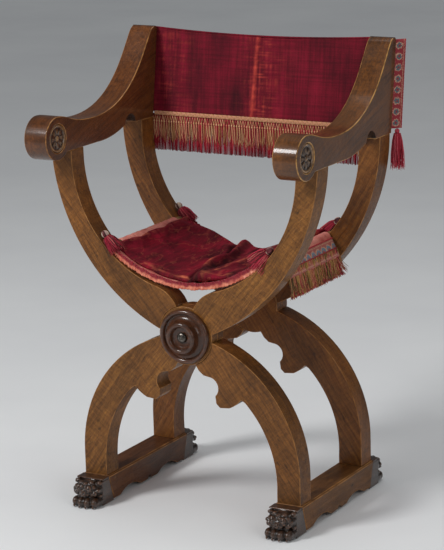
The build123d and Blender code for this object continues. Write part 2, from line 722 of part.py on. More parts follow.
def back_panel():
    """Velvet stretched over the backs of both posts and nailed to them."""
    half = polygon((0, 0), (BACK_END, 0), (BACK_END, BACK_THICKNESS), (0, BACK_THICKNESS))
    cloth = leaning(half)
    for height in nail_heights:
        cloth -= nail_shank(height, NAIL_CLOTH_FIT)
    return cloth + mirrored(cloth)


def back_galloon():
    """Trimmed end of the back cloth, turned out behind the right post."""
    reach = BACK_FLAP * cos(radians(BACK_FLAP_ANGLE))
    drop = BACK_FLAP * sin(radians(BACK_FLAP_ANGLE))
    thick = TRIM_THICKNESS / cos(radians(BACK_FLAP_ANGLE))
    plan = polygon(
        (BACK_END, 0), (BACK_END + reach, drop), (BACK_END + reach, drop + thick), (BACK_END, thick)
    )
    return leaning(plan)


def back_fringe():
    """Fringe that hangs from the lower edge of the back cloth."""
    front = back_face(BACK_BOTTOM)
    return block(
        (-BACK_FRINGE_HALF, BACK_FRINGE_HALF),
        (front, front + BACK_FRINGE_THICKNESS),
        (BACK_BOTTOM - BACK_FRINGE_LENGTH, BACK_BOTTOM),
    )


def back_tassel():
    """Tassel under the turned end of the cloth."""
    reach = BACK_FLAP * cos(radians(BACK_FLAP_ANGLE)) - BACK_TASSEL_INSET / 2
    hanging = tassel(BACK_TASSEL_RADIUS, BACK_TASSEL_LENGTH)
    return Pos(BACK_END + reach, back_face(BACK_BOTTOM) + reach + TRIM_THICKNESS, BACK_BOTTOM) * hanging


def back_nails():
    return Compound([nail(height) for height in nail_heights])


parts["back_panel"] = back_panel()
parts["back_fringe"] = back_fringe()
add_pair("back_galloon", back_galloon())
add_pair("back_tassel", back_tassel())
add_pair("back_nails", back_nails())


# ---------------------------------------------------------------- to the chair's own origin

box = Compound([solid for shape in parts.values() for solid in shape.solids()]).bounding_box()
to_origin = Pos(-box.center().X, -box.center().Y, -box.min.Z)

os.makedirs("parts", exist_ok=True)
for name, shape in parts.items():
    solids = (to_origin * shape).solids()
    export_step(solids[0] if len(solids) == 1 else Compound(solids), f"parts/{name}.step")

print("folding axis at", to_origin.position, "overall", box.size)
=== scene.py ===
"""Folding X-frame armchair: two crossed walnut frames, a slung seat and a velvet back."""

import json
from math import cos, exp, hypot, pi, radians, sin, sqrt, tau

import bmesh
import bpy
from mathutils import Matrix, Vector, noise
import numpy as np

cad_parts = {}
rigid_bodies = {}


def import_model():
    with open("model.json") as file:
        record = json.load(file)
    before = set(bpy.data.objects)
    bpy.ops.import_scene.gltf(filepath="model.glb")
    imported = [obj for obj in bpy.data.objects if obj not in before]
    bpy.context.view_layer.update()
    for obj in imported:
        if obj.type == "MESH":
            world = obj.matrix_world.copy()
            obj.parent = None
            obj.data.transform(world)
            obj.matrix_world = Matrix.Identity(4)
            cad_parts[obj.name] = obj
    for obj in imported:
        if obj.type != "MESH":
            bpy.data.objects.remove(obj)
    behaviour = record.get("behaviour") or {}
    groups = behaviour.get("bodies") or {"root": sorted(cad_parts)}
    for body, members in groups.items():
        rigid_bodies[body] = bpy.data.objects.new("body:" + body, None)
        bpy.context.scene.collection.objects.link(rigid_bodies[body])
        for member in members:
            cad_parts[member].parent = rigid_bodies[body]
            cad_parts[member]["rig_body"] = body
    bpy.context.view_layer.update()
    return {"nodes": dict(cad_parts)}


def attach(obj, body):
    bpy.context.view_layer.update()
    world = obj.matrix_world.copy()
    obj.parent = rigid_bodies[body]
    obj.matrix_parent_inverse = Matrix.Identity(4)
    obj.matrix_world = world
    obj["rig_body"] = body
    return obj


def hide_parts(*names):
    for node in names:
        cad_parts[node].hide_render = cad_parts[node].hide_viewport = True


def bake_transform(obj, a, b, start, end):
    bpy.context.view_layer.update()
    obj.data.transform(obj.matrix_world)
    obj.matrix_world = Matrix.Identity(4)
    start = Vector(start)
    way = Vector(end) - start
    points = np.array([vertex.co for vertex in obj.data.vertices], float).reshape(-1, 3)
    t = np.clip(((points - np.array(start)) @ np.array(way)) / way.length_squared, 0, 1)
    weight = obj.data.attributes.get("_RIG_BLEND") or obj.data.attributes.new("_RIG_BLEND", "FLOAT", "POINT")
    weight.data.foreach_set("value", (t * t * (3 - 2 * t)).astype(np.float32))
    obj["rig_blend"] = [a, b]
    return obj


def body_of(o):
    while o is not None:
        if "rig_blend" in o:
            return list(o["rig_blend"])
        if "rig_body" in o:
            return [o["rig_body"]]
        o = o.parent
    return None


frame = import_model()

# ---------------------------------------------------------------- crossing members
# Four boards, 46 mm thick, sawn to an S from walnut plank, with the grain along the plank.
# Two of them cross in the front frame and two in the rear one. Their arrises are rounded by
# spokeshave and by a century of hands.

MM = 0.001
# The last of these colours darkens the carved paws and paints shade in their hollows.
STAIN, WORM_HOLE, OPEN_PORE, DARK_FRONT_AND_SHADE = "#2a1a10", "#1a100a", "#2c1a0f", "#1c110a"
SHARP = radians(35)  # an arris is eased where its faces meet at more than this
PIVOT_Y, PIVOT_Z = 14.9, 377.0  # the folding axis
HALF_DEPTH = 159.0  # outer faces of the frames, from the folding axis


def at(x, y, z):
    """Point in metres, from mm beside and behind the folding axis and above the floor."""
    return Vector((x, y + PIVOT_Y, z)) * MM


def linear(code):
    """Linear colour of an sRGB hex code."""
    parts = [int(code[place : place + 2], 16) / 255 for place in (1, 3, 5)]
    return (*[c / 12.92 if c <= 0.04045 else ((c + 0.055) / 1.055) ** 2.4 for c in parts], 1)


def add(tree, kind, inputs=None, stops=(), out=0, **settings):
    """Adds a node with its inputs, the stops of its ramp and its settings, and gives one output."""
    node = tree.nodes.new("ShaderNode" + kind)
    for name, value in settings.items():
        setattr(node, name, value)
    for place, value in (inputs or {}).items():
        if isinstance(value, bpy.types.NodeSocket):
            tree.links.new(value, node.inputs[place])
        else:
            node.inputs[place].default_value = value
    if stops:
        ramp = node.color_ramp.elements
        ramp.remove(ramp[1])
        tones = [linear(t) if isinstance(t, str) else (t, t, t, 1) for _, t in stops]
        ramp[0].position, ramp[0].color = stops[0][0], tones[0]
        for (place, _), tone in zip(stops[1:], tones[1:]):
            ramp.new(place).color = tone
    return node.outputs[out] if node.outputs else None


def blank(name):
    """New material with an empty node tree, and its object coordinates."""
    material = bpy.data.materials.new(name)
    material.use_nodes = True
    material.node_tree.nodes.clear()
    return material, material.node_tree, add(material.node_tree, "TexCoord", out="Object")


def mixed(tree, share, first, second, kind="MIX"):
    """Colour between two, by a share."""
    parts = {0: share, 6: first, 7: second}
    return add(tree, "Mix", parts, out=2, data_type="RGBA", blend_type=kind)


def speckle(tree, place, scale, stops, detail=3.0, rough=0.55):
    """Noise stretched to so many bumps a metre each way, through a ramp."""
    stretched = add(tree, "Mapping", {"Vector": place, "Scale": scale})
    field = {"Vector": stretched, "Scale": 1.0, "Detail": detail, "Roughness": rough}
    return add(tree, "ValToRGB", {0: add(tree, "TexNoise", field)}, stops)


def finished(tree, colour, roughness, height, depth, **sockets):
    """Surface with its colour, roughness and relief; other sockets by name, with _ for a space."""
    relief = add(tree, "Bump", {"Height": height, "Distance": depth, "Strength": 1.0})
    given = {name.replace("_", " "): value for name, value in sockets.items()}
    given.update({"Base Color": colour, "Roughness": roughness, "Normal": relief})
    shader = add(tree, "BsdfPrincipled", given)
    add(tree, "OutputMaterial", {"Surface": shader})


def walnut(name, turn, light, middle, dark, coat=0.05, figure=0.78, wear_and_highlight_to="#b8824a"):
    """Oiled walnut, its grain along X after the turn, with open pores, arrises worn pale with painted
    highlight, and painted shade.
    """
    # Growth bands are 6 mm wide, ripples across them 4 mm apart and worm holes 2 mm across.
    # Real pores are 0.2 mm wide, and are drawn at 0.6 mm so that they show.
    material, tree, place = blank(name)
    sway = add(tree, "TexNoise", {"Vector": place, "Scale": 8.0, "Detail": 3.0}, out="Color")
    drift = {0: sway, 1: (0.022, 0.022, 0.022), 2: place}
    place = add(tree, "VectorMath", drift, operation="MULTIPLY_ADD")
    grain = add(tree, "Mapping", {"Vector": place, "Rotation": turn})
    growth = [(0.22, dark), (0.44, middle), (0.7, light)]
    colour = speckle(tree, grain, (5, 175, 175), growth, 6, rough=0.74)
    fibre = speckle(tree, grain, (22, 750, 750), [(0.3, 0.62), (0.7, 1.0)], 3)
    ripple = speckle(tree, grain, (260, 34, 34), [(0.34, figure), (0.62, 1.0)], 4)
    patch = speckle(tree, grain, (7, 13, 13), [(0.32, 0.55), (0.6, 1.0)], 5)
    pores = speckle(tree, grain, (140, 1700, 1700), [(0.58, 0.0), (0.66, 1.0)], 2)
    stains = speckle(tree, grain, (30, 60, 60), [(0.63, 0.0), (0.74, 0.75)], 5)
    for shade in (fibre, ripple, patch):
        colour = mixed(tree, 1.0, colour, shade, "MULTIPLY")
    colour = mixed(tree, stains, colour, linear(STAIN))
    holes = add(tree, "TexVoronoi", {"Vector": grain, "Scale": 55.0}, out="Distance")
    holes = add(tree, "ValToRGB", {0: holes}, [(0.0, 0.85), (0.045, 0.8), (0.055, 0.0)])
    colour = mixed(tree, holes, colour, linear(WORM_HOLE))
    dents = add(tree, "Math", {0: pores, 1: 0.55}, operation="MULTIPLY")
    colour = mixed(tree, dents, colour, linear(OPEN_PORE))
    # Marked arrises and high places go lighter: partly wear, partly painted highlight.
    wear_and_highlight_breakup = speckle(tree, grain, (40, 90, 90), [(0.35, 0.15), (0.6, 0.95)], 4)
    wear_and_highlight = add(tree, "Attribute", out="Fac", attribute_name="wear_and_highlight")
    wear_and_highlight = add(tree, "Math", {0: wear_and_highlight, 1: wear_and_highlight_breakup}, operation="MULTIPLY")
    colour = mixed(tree, wear_and_highlight, colour, linear(wear_and_highlight_to))
    # Painted shade: darker where the shade attribute is set, as in the hollows of the paws.
    shade = add(tree, "Attribute", out="Fac", attribute_name="shade")
    colour = mixed(tree, shade, colour, linear(DARK_FRONT_AND_SHADE))
    polish = speckle(tree, grain, (9, 30, 30), [(0.3, 0.3), (0.7, 0.5)], 3)
    height = add(tree, "Math", {0: fibre, 1: pores}, operation="SUBTRACT")
    gloss = {"Specular_IOR_Level": 0.25, "Coat_Weight": coat, "Coat_Roughness": 0.13}
    finished(tree, colour, polish, height, 0.25 * MM, **gloss)
    return material


def copied(node):
    """Merged copy of a CAD piece's mesh, in the row frame."""
    form = bmesh.new()
    form.from_mesh(node.data)
    form.transform(node.matrix_world)
    bmesh.ops.remove_doubles(form, verts=form.verts, dist=0.01 * MM)
    bmesh.ops.dissolve_limit(form, angle_limit=radians(0.7), verts=form.verts, edges=form.edges)
    return form


def eased(form, round_to, shortest, arris_wear_and_highlight):
    """Rounds the arrises longer than the shortest, and marks them for wear and painted highlight."""
    wear_and_highlight = form.verts.layers.float.new("wear_and_highlight")
    arrises = [edge for edge in form.edges if edge.is_manifold and edge.calc_face_angle(0) > SHARP]
    arrises = [edge for edge in arrises if edge.calc_length() > shortest * MM]
    shape = {"affect": "EDGES", "segments": 3, "profile": 0.5, "material": -1}
    bevelled = bmesh.ops.bevel(
        form, geom=arrises, offset=round_to * MM, clamp_overlap=False, **shape
    )
    rounds = set(bevelled["faces"])
    for face in rounds:
        for vert in face.verts:
            vert[wear_and_highlight] = arris_wear_and_highlight if all(other in rounds for other in vert.link_faces) else 0.0


def placed(name, data):
    """New object in the scene, of a mesh, lamp or camera."""
    made = bpy.data.objects.new(name, data)
    bpy.context.scene.collection.objects.link(made)
    return made


def formed(name, form):
    """New object whose mesh is a bmesh, which it uses up."""
    mesh = bpy.data.meshes.new(name)
    form.to_mesh(mesh)
    form.free()
    return placed(name, mesh)


def piece(name, form, material, body=None, stands_for=(), weighted=False):
    """Makes a smooth piece of a bmesh, riding on its body in place of the CAD pieces named."""
    made = formed(name, form)
    made.data.shade_smooth()
    made.data.materials.append(material)
    if weighted:
        made.modifiers.new("even shading", "WEIGHTED_NORMAL").keep_sharp = True
    if stands_for:
        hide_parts(*stands_for)
    if body:
        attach(made, body)
    return made


def board(name, material, shortest=1.3, round_to=1.5, arris_wear_and_highlight=0.85):
    """A CAD board with eased arrises in its own material."""
    node = frame["nodes"][name]
    form = copied(node)
    eased(form, round_to, shortest, arris_wear_and_highlight)
    piece(name + "_wood", form, material, body_of(node)[0], [name], weighted=True)


for place, half, slope, tones, figure in (
    ("front", "A", 52, ("#b67a38", "#8c5929", "#4b2a12"), 0.68),
    ("front", "B", -52, ("#a96d31", "#805023", "#44260f"), 0.74),
    ("rear", "A", 56, ("#a1672e", "#7d4a21", "#44240f"), 0.78),
    ("rear", "B", -56, ("#ab6e31", "#865024", "#482711"), 0.78),
):
    plank = walnut(f"walnut {place} {half}", (0, radians(slope), 0), *tones, figure=figure)
    board(f"{place}_member_{half.lower()}", plank)

# ---------------------------------------------------------------- foot rails
# One rail under each pair of legs, cut from thick walnut, with two arches and a notch sawn out
# of its underside, and mortised for the legs. Turned beech pegs lock the tenons from the side.

ALONG_Y = (0, 0, radians(90))  # turns the grain from X to Y
for side, tones in (
    ("right", ("#a06c36", "#7c4f29", "#452814")),
    ("left", ("#855330", "#643b20", "#382012")),
):
    board("foot_rail_" + side, walnut("walnut rail " + side, ALONG_Y, *tones))


def stained(name, material):
    """Gives a CAD piece that stays its own material."""
    coats = frame["nodes"][name].data.materials
    coats.clear()
    coats.append(material)


PEG_WOOD = walnut("beech pegs", (0, 0, 0), "#8f6a43", "#6d4b2c", "#49301d", coat=0.1, figure=0.9)
for name in ("leg_pegs_left", "leg_pegs_right", "paw_dowels_left", "paw_dowels_right"):
    stained(name, PEG_WOOD)

# ---------------------------------------------------------------- paws
# A lion's paw in darker, polished walnut is doweled to each end of each rail: a lipped cap
# under the leg, a mane of carved curls, a deep groove, and four toes with claws.

LEG_MIDDLE = 224.0
RAIL_TOP, RAIL_CLEAR, JOINT_LEAN = 58.0, 4.0, 17.0
PAW_HALF, PAW_TIP = 31.0, 219.0  # half width, and the claws' reach from the folding axis
MANE_ROOT, MANE_MIDDLE = 184.0, 36.5
tones = ("#6e442a", "#4d2e1a", "#2b190e")
CARVED = walnut("carved dark walnut", ALONG_Y, *tones, coat=1.0, wear_and_highlight_to="#8a6044")


def clamp(value, low=0.0, high=1.0):
    """The value, kept between two limits."""
    return min(max(value, low), high)


def ball(form, centre, radii):
    """Adds an ellipsoid; centre and radii in mm."""
    matrix = Matrix.Translation(at(*centre)) @ Matrix.Diagonal((*[r * MM for r in radii], 1))
    bmesh.ops.create_icosphere(form, subdivisions=3, radius=1.0, matrix=matrix)


def brick(form, low, high):
    """Adds a box between two corners in mm."""
    low, high = at(*low), at(*high)
    size = high - low
    matrix = Matrix.Translation((low + high) / 2) @ Matrix.Diagonal((*size, 1))
    bmesh.ops.create_cube(form, size=1.0, matrix=matrix)


def curl(form, centre, radius):
    """Adds one curl of the mane: a coil that rises to its middle, facing forward."""
    for step in range(17):
        angle = step / 16 * 2.4 * pi
        reach = radius * (1 - 0.6 * step / 16)
        x, y, z = centre
        spot = (x + reach * cos(angle), y - 2.2 * step / 16, z + reach * sin(angle))
        ball(form, spot, (0.36 * radius, 0.5 * radius, 0.36 * radius))


def joint_y(z):
    """Where the joint between paw and rail is, which leans back towards the floor."""
    return JOINT_LEAN * min(1, (RAIL_TOP - z) / (RAIL_TOP - RAIL_CLEAR)) - HALF_DEPTH


def skin_of(made):
    """The mesh of an object as its modifiers shape it, without the object."""
    scene_now = bpy.context.evaluated_depsgraph_get()
    skin = bpy.data.meshes.new_from_object(made.evaluated_get(scene_now))
    bpy.data.objects.remove(made)
    return skin


def mane_front(x, z):
    """How far the mane stands forward, beside the leg's middle and above the floor."""
    return MANE_ROOT + 26 * sqrt(max(0.06, 1 - (x / 32) ** 2 - ((z - MANE_MIDDLE) / 19) ** 2))


def carved_paw():
    """Mesh of the front right paw, melted into one carved skin."""
    form = bmesh.new()
    brick(form, (LEG_MIDDLE - 30.5, -184, 1), (LEG_MIDDLE + 30.5, -159.2, 52))
    brick(form, (LEG_MIDDLE - 31, -184, 54.8), (LEG_MIDDLE + 31, -159.2, 57.8))
    brick(form, (LEG_MIDDLE - 29.5, -181, 46), (LEG_MIDDLE + 29.5, -159.2, 56))
    for vert in form.verts:
        if vert.co.y > at(0, -160, 0).y:  # the back corners, laid against the leaning joint
            vert.co.y = at(0, joint_y(vert.co.z / MM) - 0.2, 0).y
    ball(form, (LEG_MIDDLE, -184, 36.5), (30.5, 26, 18.5))
    ball(form, (LEG_MIDDLE, -186, 11), (30.5, 28, 13.5))
    for row in range(5):
        height = 50 - 6.6 * row
        for lock in range(5 - row % 2):
            x = 12.6 * (lock - 2 + 0.5 * (row % 2)) + 1.2 * sin(2.3 * row + 1.7 * lock)
            rise = height + 1.1 * sin(3.1 * row + 2.1 * lock)
            front = mane_front(x, rise)
            ball(form, (LEG_MIDDLE + x, 2.4 - front, rise), (6.3, 5.4, 4.4))
            ball(form, (LEG_MIDDLE + x + 2.0, 1.0 - front, rise - 2.0), (3.8, 3.8, 3.2))
    chest_curls = ((-12, 42, 5.6), (12, 42, 5.6), (0, 31, 5.6), (-22, 31, 4.8), (22, 31, 4.8))
    for x, height, size in chest_curls:
        curl(form, (LEG_MIDDLE + x, -0.6 - mane_front(x, height), height), size)
    for number in range(4):
        share = (number - 1.5) / 1.5
        x = LEG_MIDDLE + 22.3 * share
        back = 5.0 * share * share
        ball(form, (x, -193 + back, 10.2), (8.6, 20, 10.4))
        ball(form, (x, -206 + back, 11.0), (8.3, 12.0, 10.2))
        ball(form, (x, -217 + back, 4.2), (2.6, 2.2, 3.4))
    made = formed("paw", form)
    melt = made.modifiers.new("melt", "REMESH")
    melt.mode, melt.voxel_size = "VOXEL", 1.0 * MM
    bpy.context.view_layer.update()
    return skin_of(made)


def high_spots(form):
    """Smooths the carving lightly, marks its high places for wear and painted highlight, darkens it most at
    the front, and paints shade in its hollows.
    """
    wear_and_highlight = form.verts.layers.float.new("wear_and_highlight")
    shade = form.verts.layers.float.new("shade")
    every_way = {"use_axis_x": True, "use_axis_y": True, "use_axis_z": True}
    bmesh.ops.smooth_vert(form, verts=form.verts, factor=0.4, **every_way)
    form.normal_update()
    rise = {}
    for vert in form.verts:
        ring = [edge.other_vert(vert).co for edge in vert.link_edges]
        middle = sum(ring, Vector()) / max(len(ring), 1)
        rise[vert] = (vert.co - middle).dot(vert.normal)
    for _ in range(2):  # averaged over two rings of neighbours
        spread = {}
        for vert, value in rise.items():
            around = sum(rise[edge.other_vert(vert)] for edge in vert.link_edges)
            spread[vert] = (value + around) / (1 + len(vert.link_edges))
        rise = spread
    for vert, value in rise.items():
        near_floor = vert.co.z < 8 * MM
        vert[wear_and_highlight] = clamp(value / MM * 4 - 0.08, 0, 0.3) * (0.3 if near_floor else 1)
        # Darker below the cap and most at the carved front; painted shade deepens the hollows.
        forward = (PIVOT_Y - vert.co.y / MM - 170) / 16
        darkness = 0.4 + 0.4 * clamp(forward) if vert.co.z < 54 * MM else 0.15
        vert[shade] = clamp(darkness - 9 * value / MM, 0, 0.93)


paw_skin = carved_paw()
for name, flip_x, flip_y in (
    ("paw_front_right", 1, 1),
    ("paw_front_left", -1, 1),
    ("paw_rear_right", 1, -1),
    ("paw_rear_left", -1, -1),
):
    form = bmesh.new()
    form.from_mesh(paw_skin)
    high_spots(form)
    middle = at(0, 0, 0)
    for vert in form.verts:
        x, y, z = vert.co
        x = clamp(x, (LEG_MIDDLE - PAW_HALF) * MM, (LEG_MIDDLE + PAW_HALF) * MM)
        y = clamp(y, middle.y - PAW_TIP * MM, middle.y + joint_y(z / MM) * MM)
        vert.co = (x * flip_x, middle.y + (y - middle.y) * flip_y, max(z, 0))
    bmesh.ops.recalc_face_normals(form, faces=form.faces)
    body = body_of(frame["nodes"][name])[0]
    piece(name + "_carved", form, CARVED, body, [name])

# ---------------------------------------------------------------- pivots
# A forged iron pin with a button head passes through each frame, which turns on it. A boss of
# dark polished walnut, turned with a rim bead, cove, raised ring and well, covers the crossing.

BOSS_WOOD = walnut("turned dark walnut", (0, 0, 0), "#7a4628", "#55301b", "#2e190e", coat=0.7)


def old_metal(name, stops):
    """Old metal in tarnished patches of 2 to 3 mm, brighter where it is rubbed."""
    material, tree, place = blank(name)
    colour = speckle(tree, place, (400, 400, 400), stops, 4)
    rough = speckle(tree, place, (300, 300, 300), [(0.3, 0.25), (0.7, 0.5)], 3)
    finished(tree, colour, rough, rough, 0.05 * MM, Metallic=1.0)
    return material


PIN_IRON = old_metal("forged iron", [(0.3, "#3c3834"), (0.52, "#5e5852"), (0.72, "#8c8680")])


def sweep(x, y, radius, start, end, steps=8):
    """Points of an arc in a turned outline, in degrees."""
    angles = [radians(start + (end - start) * step / steps) for step in range(steps + 1)]
    return [(x + radius * cos(angle), y + radius * sin(angle)) for angle in angles]


def turned(outline, side, steps=96):
    """Form turned about the folding axis, from radii and heights in mm above the frame's face."""
    form = bmesh.new()
    spots = [at(radius, side * (HALF_DEPTH + height), PIVOT_Z) for radius, height in outline]
    verts = [form.verts.new(spot) for spot in spots]
    edges = [form.edges.new(pair) for pair in zip(verts, verts[1:])]
    lathe = {"cent": at(0, 0, PIVOT_Z), "axis": (0, 1, 0), "dvec": (0, 0, 0), "angle": tau}
    lathe |= {"steps": steps, "use_merge": True, "use_duplicate": False}
    bmesh.ops.spin(form, geom=verts + edges, **lathe)
    bmesh.ops.remove_doubles(form, verts=form.verts, dist=0.002 * MM)
    bmesh.ops.recalc_face_normals(form, faces=form.faces)
    form.verts.layers.float.new("wear_and_highlight")
    return form


boss_outline = (
    [(7.1, 0), (54, 0), (55, 1), (55, 3.5)]
    + sweep(50.2, 5.2, 4.8, -10, 190, 14)
    + [(44.6, 3.6), (43.8, 3.4)]
    + sweep(43.8, 14.4, 11, 268, 190, 10)
    + [(32.2, 16.0), (32.0, 17.6)]
    + sweep(27.2, 19.2, 4.8, 0, 180, 14)
    + [(22.0, 16.5), (20.2, 13.4), (19.4, 13), (7.1, 13)]
)
pin_outline = [(0, -44), (7, -44), (7, 13), (10, 13), (10.5, 13.6), (10.5, 15.2)]
for angle in (12, 26, 40, 55, 70, 90):  # the button
    pin_outline.append((10.5 * cos(radians(angle)), 15.2 + 4.8 * sin(radians(angle))))
ENDS = (("front", -1), ("rear", 1))
for place, side in ENDS:
    boss = turned(boss_outline, side)
    piece(f"boss_{place}_turned", boss, BOSS_WOOD, "half_a", [f"boss_{place}"])
    pin = turned(pin_outline, side, 48)
    piece(f"pin_{place}_forged", pin, PIN_IRON, "half_a", [f"pivot_pin_{place}"])

# ---------------------------------------------------------------- arms
# Each arm is sawn from one block, with the back post standing on its rear end and a scroll
# turned under its front end. Both faces of the scroll are sunk and carved with a rosette.

# The arms' arrises are lighter for wear and painted highlight.
for side, tones, coat, wear_and_highlight_to, arris_wear_and_highlight in (
    ("right", ("#94581f", "#70421a", "#40240f"), 0.5, "#d09c58", 1.0),
    ("left", ("#8c5224", "#6a3b1b", "#3c200f"), 0.45, "#cc9050", 0.7),
):
    slope = (radians(-18), 0, radians(90))
    wood = walnut("walnut arm " + side, slope, *tones, coat=coat, wear_and_highlight_to=wear_and_highlight_to)
    board("arm_" + side, wood, 2.8, 2.2, arris_wear_and_highlight)

ARM_INNER, ARM_OUTER = 251.0, 303.0
SCROLL_Y, SCROLL_Z = -205.0, 387.5 + PIVOT_Z
ROSETTE_RADIUS, ROSETTE_SINK = 28.8, 4.0
ROSETTE_RINGS, ROSETTE_TURNS = 26, 96


def rosette_height(radius, angle):
    """Height of the carving in mm: rim ring, eight veined petals and a middle knob."""
    if radius > 22.5:
        return 3.2 * sqrt(max(0, 1 - ((radius - 25.6) / 3.1) ** 2))
    if radius > 6.5:
        petal = abs(cos(4 * angle))
        swell = sin(pi * ((radius - 6.5) / 16) ** 0.8) ** 0.6
        lobe = max(0, petal - 0.35) ** 0.5
        vein = 1 - 0.3 * exp(-((petal - 1) ** 2) / 0.002)
        return 3.0 * swell * lobe * vein
    return 3.8 * sqrt(max(0, 1 - (radius / 6.6) ** 2))


def woven(form, lines, turned_over=False):
    """Faces between rows of vertices."""
    for low, high in zip(lines, lines[1:]):
        for corners in zip(low, high, high[1:], low[1:]):
            form.faces.new(corners[::-1] if turned_over else corners)


def rosette(side, facing):
    """Carved disc in the sunk face of a scroll, for the side of its arm and the way it faces."""
    form = bmesh.new()
    wear_and_highlight = form.verts.layers.float.new("wear_and_highlight")
    face_x = ARM_OUTER if facing * side > 0 else ARM_INNER
    face_x = side * face_x - facing * ROSETTE_SINK
    rings = []
    for row in range(ROSETTE_RINGS + 1):
        radius = ROSETTE_RADIUS * row / ROSETTE_RINGS
        ring = []
        for turn in range(ROSETTE_TURNS if row else 1):
            angle = turn * tau / ROSETTE_TURNS
            rise = rosette_height(radius, angle)
            y, z = SCROLL_Y + radius * cos(angle), SCROLL_Z + radius * sin(angle)
            vert = form.verts.new(at(face_x + facing * rise, y, z))
            # High places lighter: partly wear, partly painted highlight.
            vert[wear_and_highlight] = clamp(rise / 2.6 - 0.4, 0, 0.9)
            ring.append(vert)
        rings.append(ring + ring[:1])
    for near, far in zip(rings[1], rings[1][1:]):
        form.faces.new((rings[0][0], near, far))
    woven(form, rings[1:])
    bmesh.ops.recalc_face_normals(form, faces=form.faces)
    return form


# Darker than the arms: painted shade in the sunk carving.
tones = ("#5a3820", "#3a2212", "#1a0e08")
ROSETTE_WOOD = walnut("carved rosettes", (0, 0, 0), *tones, coat=1.0, wear_and_highlight_to="#b88a58")
SIDES = (("right", 1, "half_a"), ("left", -1, "half_b"))
for label, side, body in SIDES:
    for facing in (-1, 1):
        where = "outer" if facing * side > 0 else "inner"
        piece(f"rosette_{label}_{where}", rosette(side, facing), ROSETTE_WOOD, body)

# ---------------------------------------------------------------- seat rails and sling
# Two beech rods lie in the frames, inside sleeves of the seat cloth. The cloth is salmon satin:
# it hangs in an arc between the sleeves, and a flap of it falls outside each of them.

RAIL_ROD = walnut("beech rod", ALONG_Y, "#b58d5f", "#96704a", "#6b4a2f", coat=0.1, figure=0.95)
for name in ("seat_rail_left", "seat_rail_right"):
    stained(name, RAIL_ROD)

SLING_RADIUS, SLING_Z = 261.0, 364.8 + PIVOT_Z
ROD_X, ROD_Z, SLEEVE = 178.14, 159.86 + PIVOT_Z, 10.55
FLAP_ANGLE, FLAP_LENGTH = 25.5, 46.0
SLING_SPREAD = 41.0  # degrees of arc, each side of the middle
MEMBER_X = 166.0  # where the cloth narrows to pass between the frames
WIDE_HALF, NARROW_HALF = 150, 109


def satin(name, light, dark, sheen):
    """Worn silk satin: a smooth face with a warp of 0.4 mm, and stains of about 11 mm."""
    material, tree, place = blank(name)
    colour = speckle(tree, place, (30, 30, 30), [(0.3, dark), (0.66, light)], 5)
    warp = speckle(tree, place, (2500, 120, 2500), [(0.3, 0.82), (0.7, 1.0)], 2)
    dirt = speckle(tree, place, (90, 90, 90), [(0.55, 0.0), (0.8, 0.5)], 5)
    colour = mixed(tree, 1.0, colour, warp, "MULTIPLY")
    colour = mixed(tree, dirt, colour, linear("#6b3a30"))
    velvet_side = add(tree, "Attribute", out="Fac", attribute_name="shade")
    colour = mixed(tree, velvet_side, colour, linear("#8a1424"))
    rough = speckle(tree, place, (25, 25, 25), [(0.3, 0.34), (0.7, 0.55)], 3)
    lustre = {"Sheen_Weight": 0.12, "Sheen_Roughness": 0.4, "Sheen_Tint": linear(sheen)}
    finished(tree, colour, rough, warp, 0.08 * MM, **lustre)
    return material


def waver(x, y, z):
    """Steady unevenness from -1 to 1, at a place in the noise."""
    return noise.noise(Vector((x, y, z)))


def sling_path():
    """Points of the cloth's section from flap to flap, in mm, each with its outward normal."""
    right = []
    for step in range(1, 9):
        angle = radians(SLING_SPREAD * step / 8)
        x, z = SLING_RADIUS * sin(angle), SLING_Z - SLING_RADIUS * cos(angle)
        right.append((x, z, -sin(angle), cos(angle)))
    for step in range(1, 13):
        angle = radians(131 - (131 - FLAP_ANGLE) * step / 12)
        out = (cos(angle), sin(angle))
        right.append((ROD_X + SLEEVE * out[0], ROD_Z + SLEEVE * out[1], *out))
    x, z, out_x, out_z = right[-1]
    for step in range(1, 10):
        reach = FLAP_LENGTH * step / 9
        right.append((x + out_z * reach, z - out_x * reach, out_x, out_z))
    middle = [(0, SLING_Z - SLING_RADIUS, 0, 1)]
    return [(-x, z, -nx, nz) for x, z, nx, nz in reversed(right)] + middle + right


def sling_form():
    """Cloth of the seat, narrower between the frames, with creases across the sleeves."""
    form = bmesh.new()
    rows = 150
    lines = []
    for x, z, out_x, out_z in sling_path():
        half = WIDE_HALF if abs(x) < MEMBER_X else NARROW_HALF
        line = []
        for row in range(rows + 1):
            y = half * (2 * row / rows - 1)
            drawn = waver(y * 0.11, x * 0.012, 3.7) + 0.5 * waver(y * 0.27, x * 0.02, 9.1)
            lift = (0.9 if abs(x) > MEMBER_X - 1 else 0.35) * drawn
            line.append(form.verts.new(at(x + out_x * lift, y, z + out_z * lift)))
        lines.append(line)
    woven(form, lines)
    bmesh.ops.recalc_face_normals(form, faces=form.faces)
    return form


def thickened(made, by):
    """Gives a sheet its thickness in mm."""
    shell = made.modifiers.new("thickness", "SOLIDIFY")
    shell.thickness, shell.offset = by * MM, 0
    return made


def crossing(made, reach):
    """Lets cloth that crosses the folding axis bend between the two halves."""
    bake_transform(made, "half_b", "half_a", at(-reach, 0, 600), at(reach, 0, 600))
    return made


SATIN = satin("salmon satin", "#ee9888", "#c25c52", "#ffd0c0")
SEAT_REACH = 150  # the seat's cloth bends between the halves over this much each side
sling = piece("sling_cloth", sling_form(), SATIN, None, ["seat_sling"])
crossing(thickened(sling, 1.4), SEAT_REACH)

# ---------------------------------------------------------------- seat trimmings
# Woven galloon between two gold cords covers each flap, and a fringe of gold, olive and crimson
# thread over a crimson lining hangs under it. A gathered satin frill runs along the front and
# the rear edge of the seat.

REPEAT = 22.0  # from one medallion of the galloon to the next
FLAP_HALF = 108.0
SEAT_GALLOON_HALF, BACK_GALLOON_HALF = 19.5, 12.5


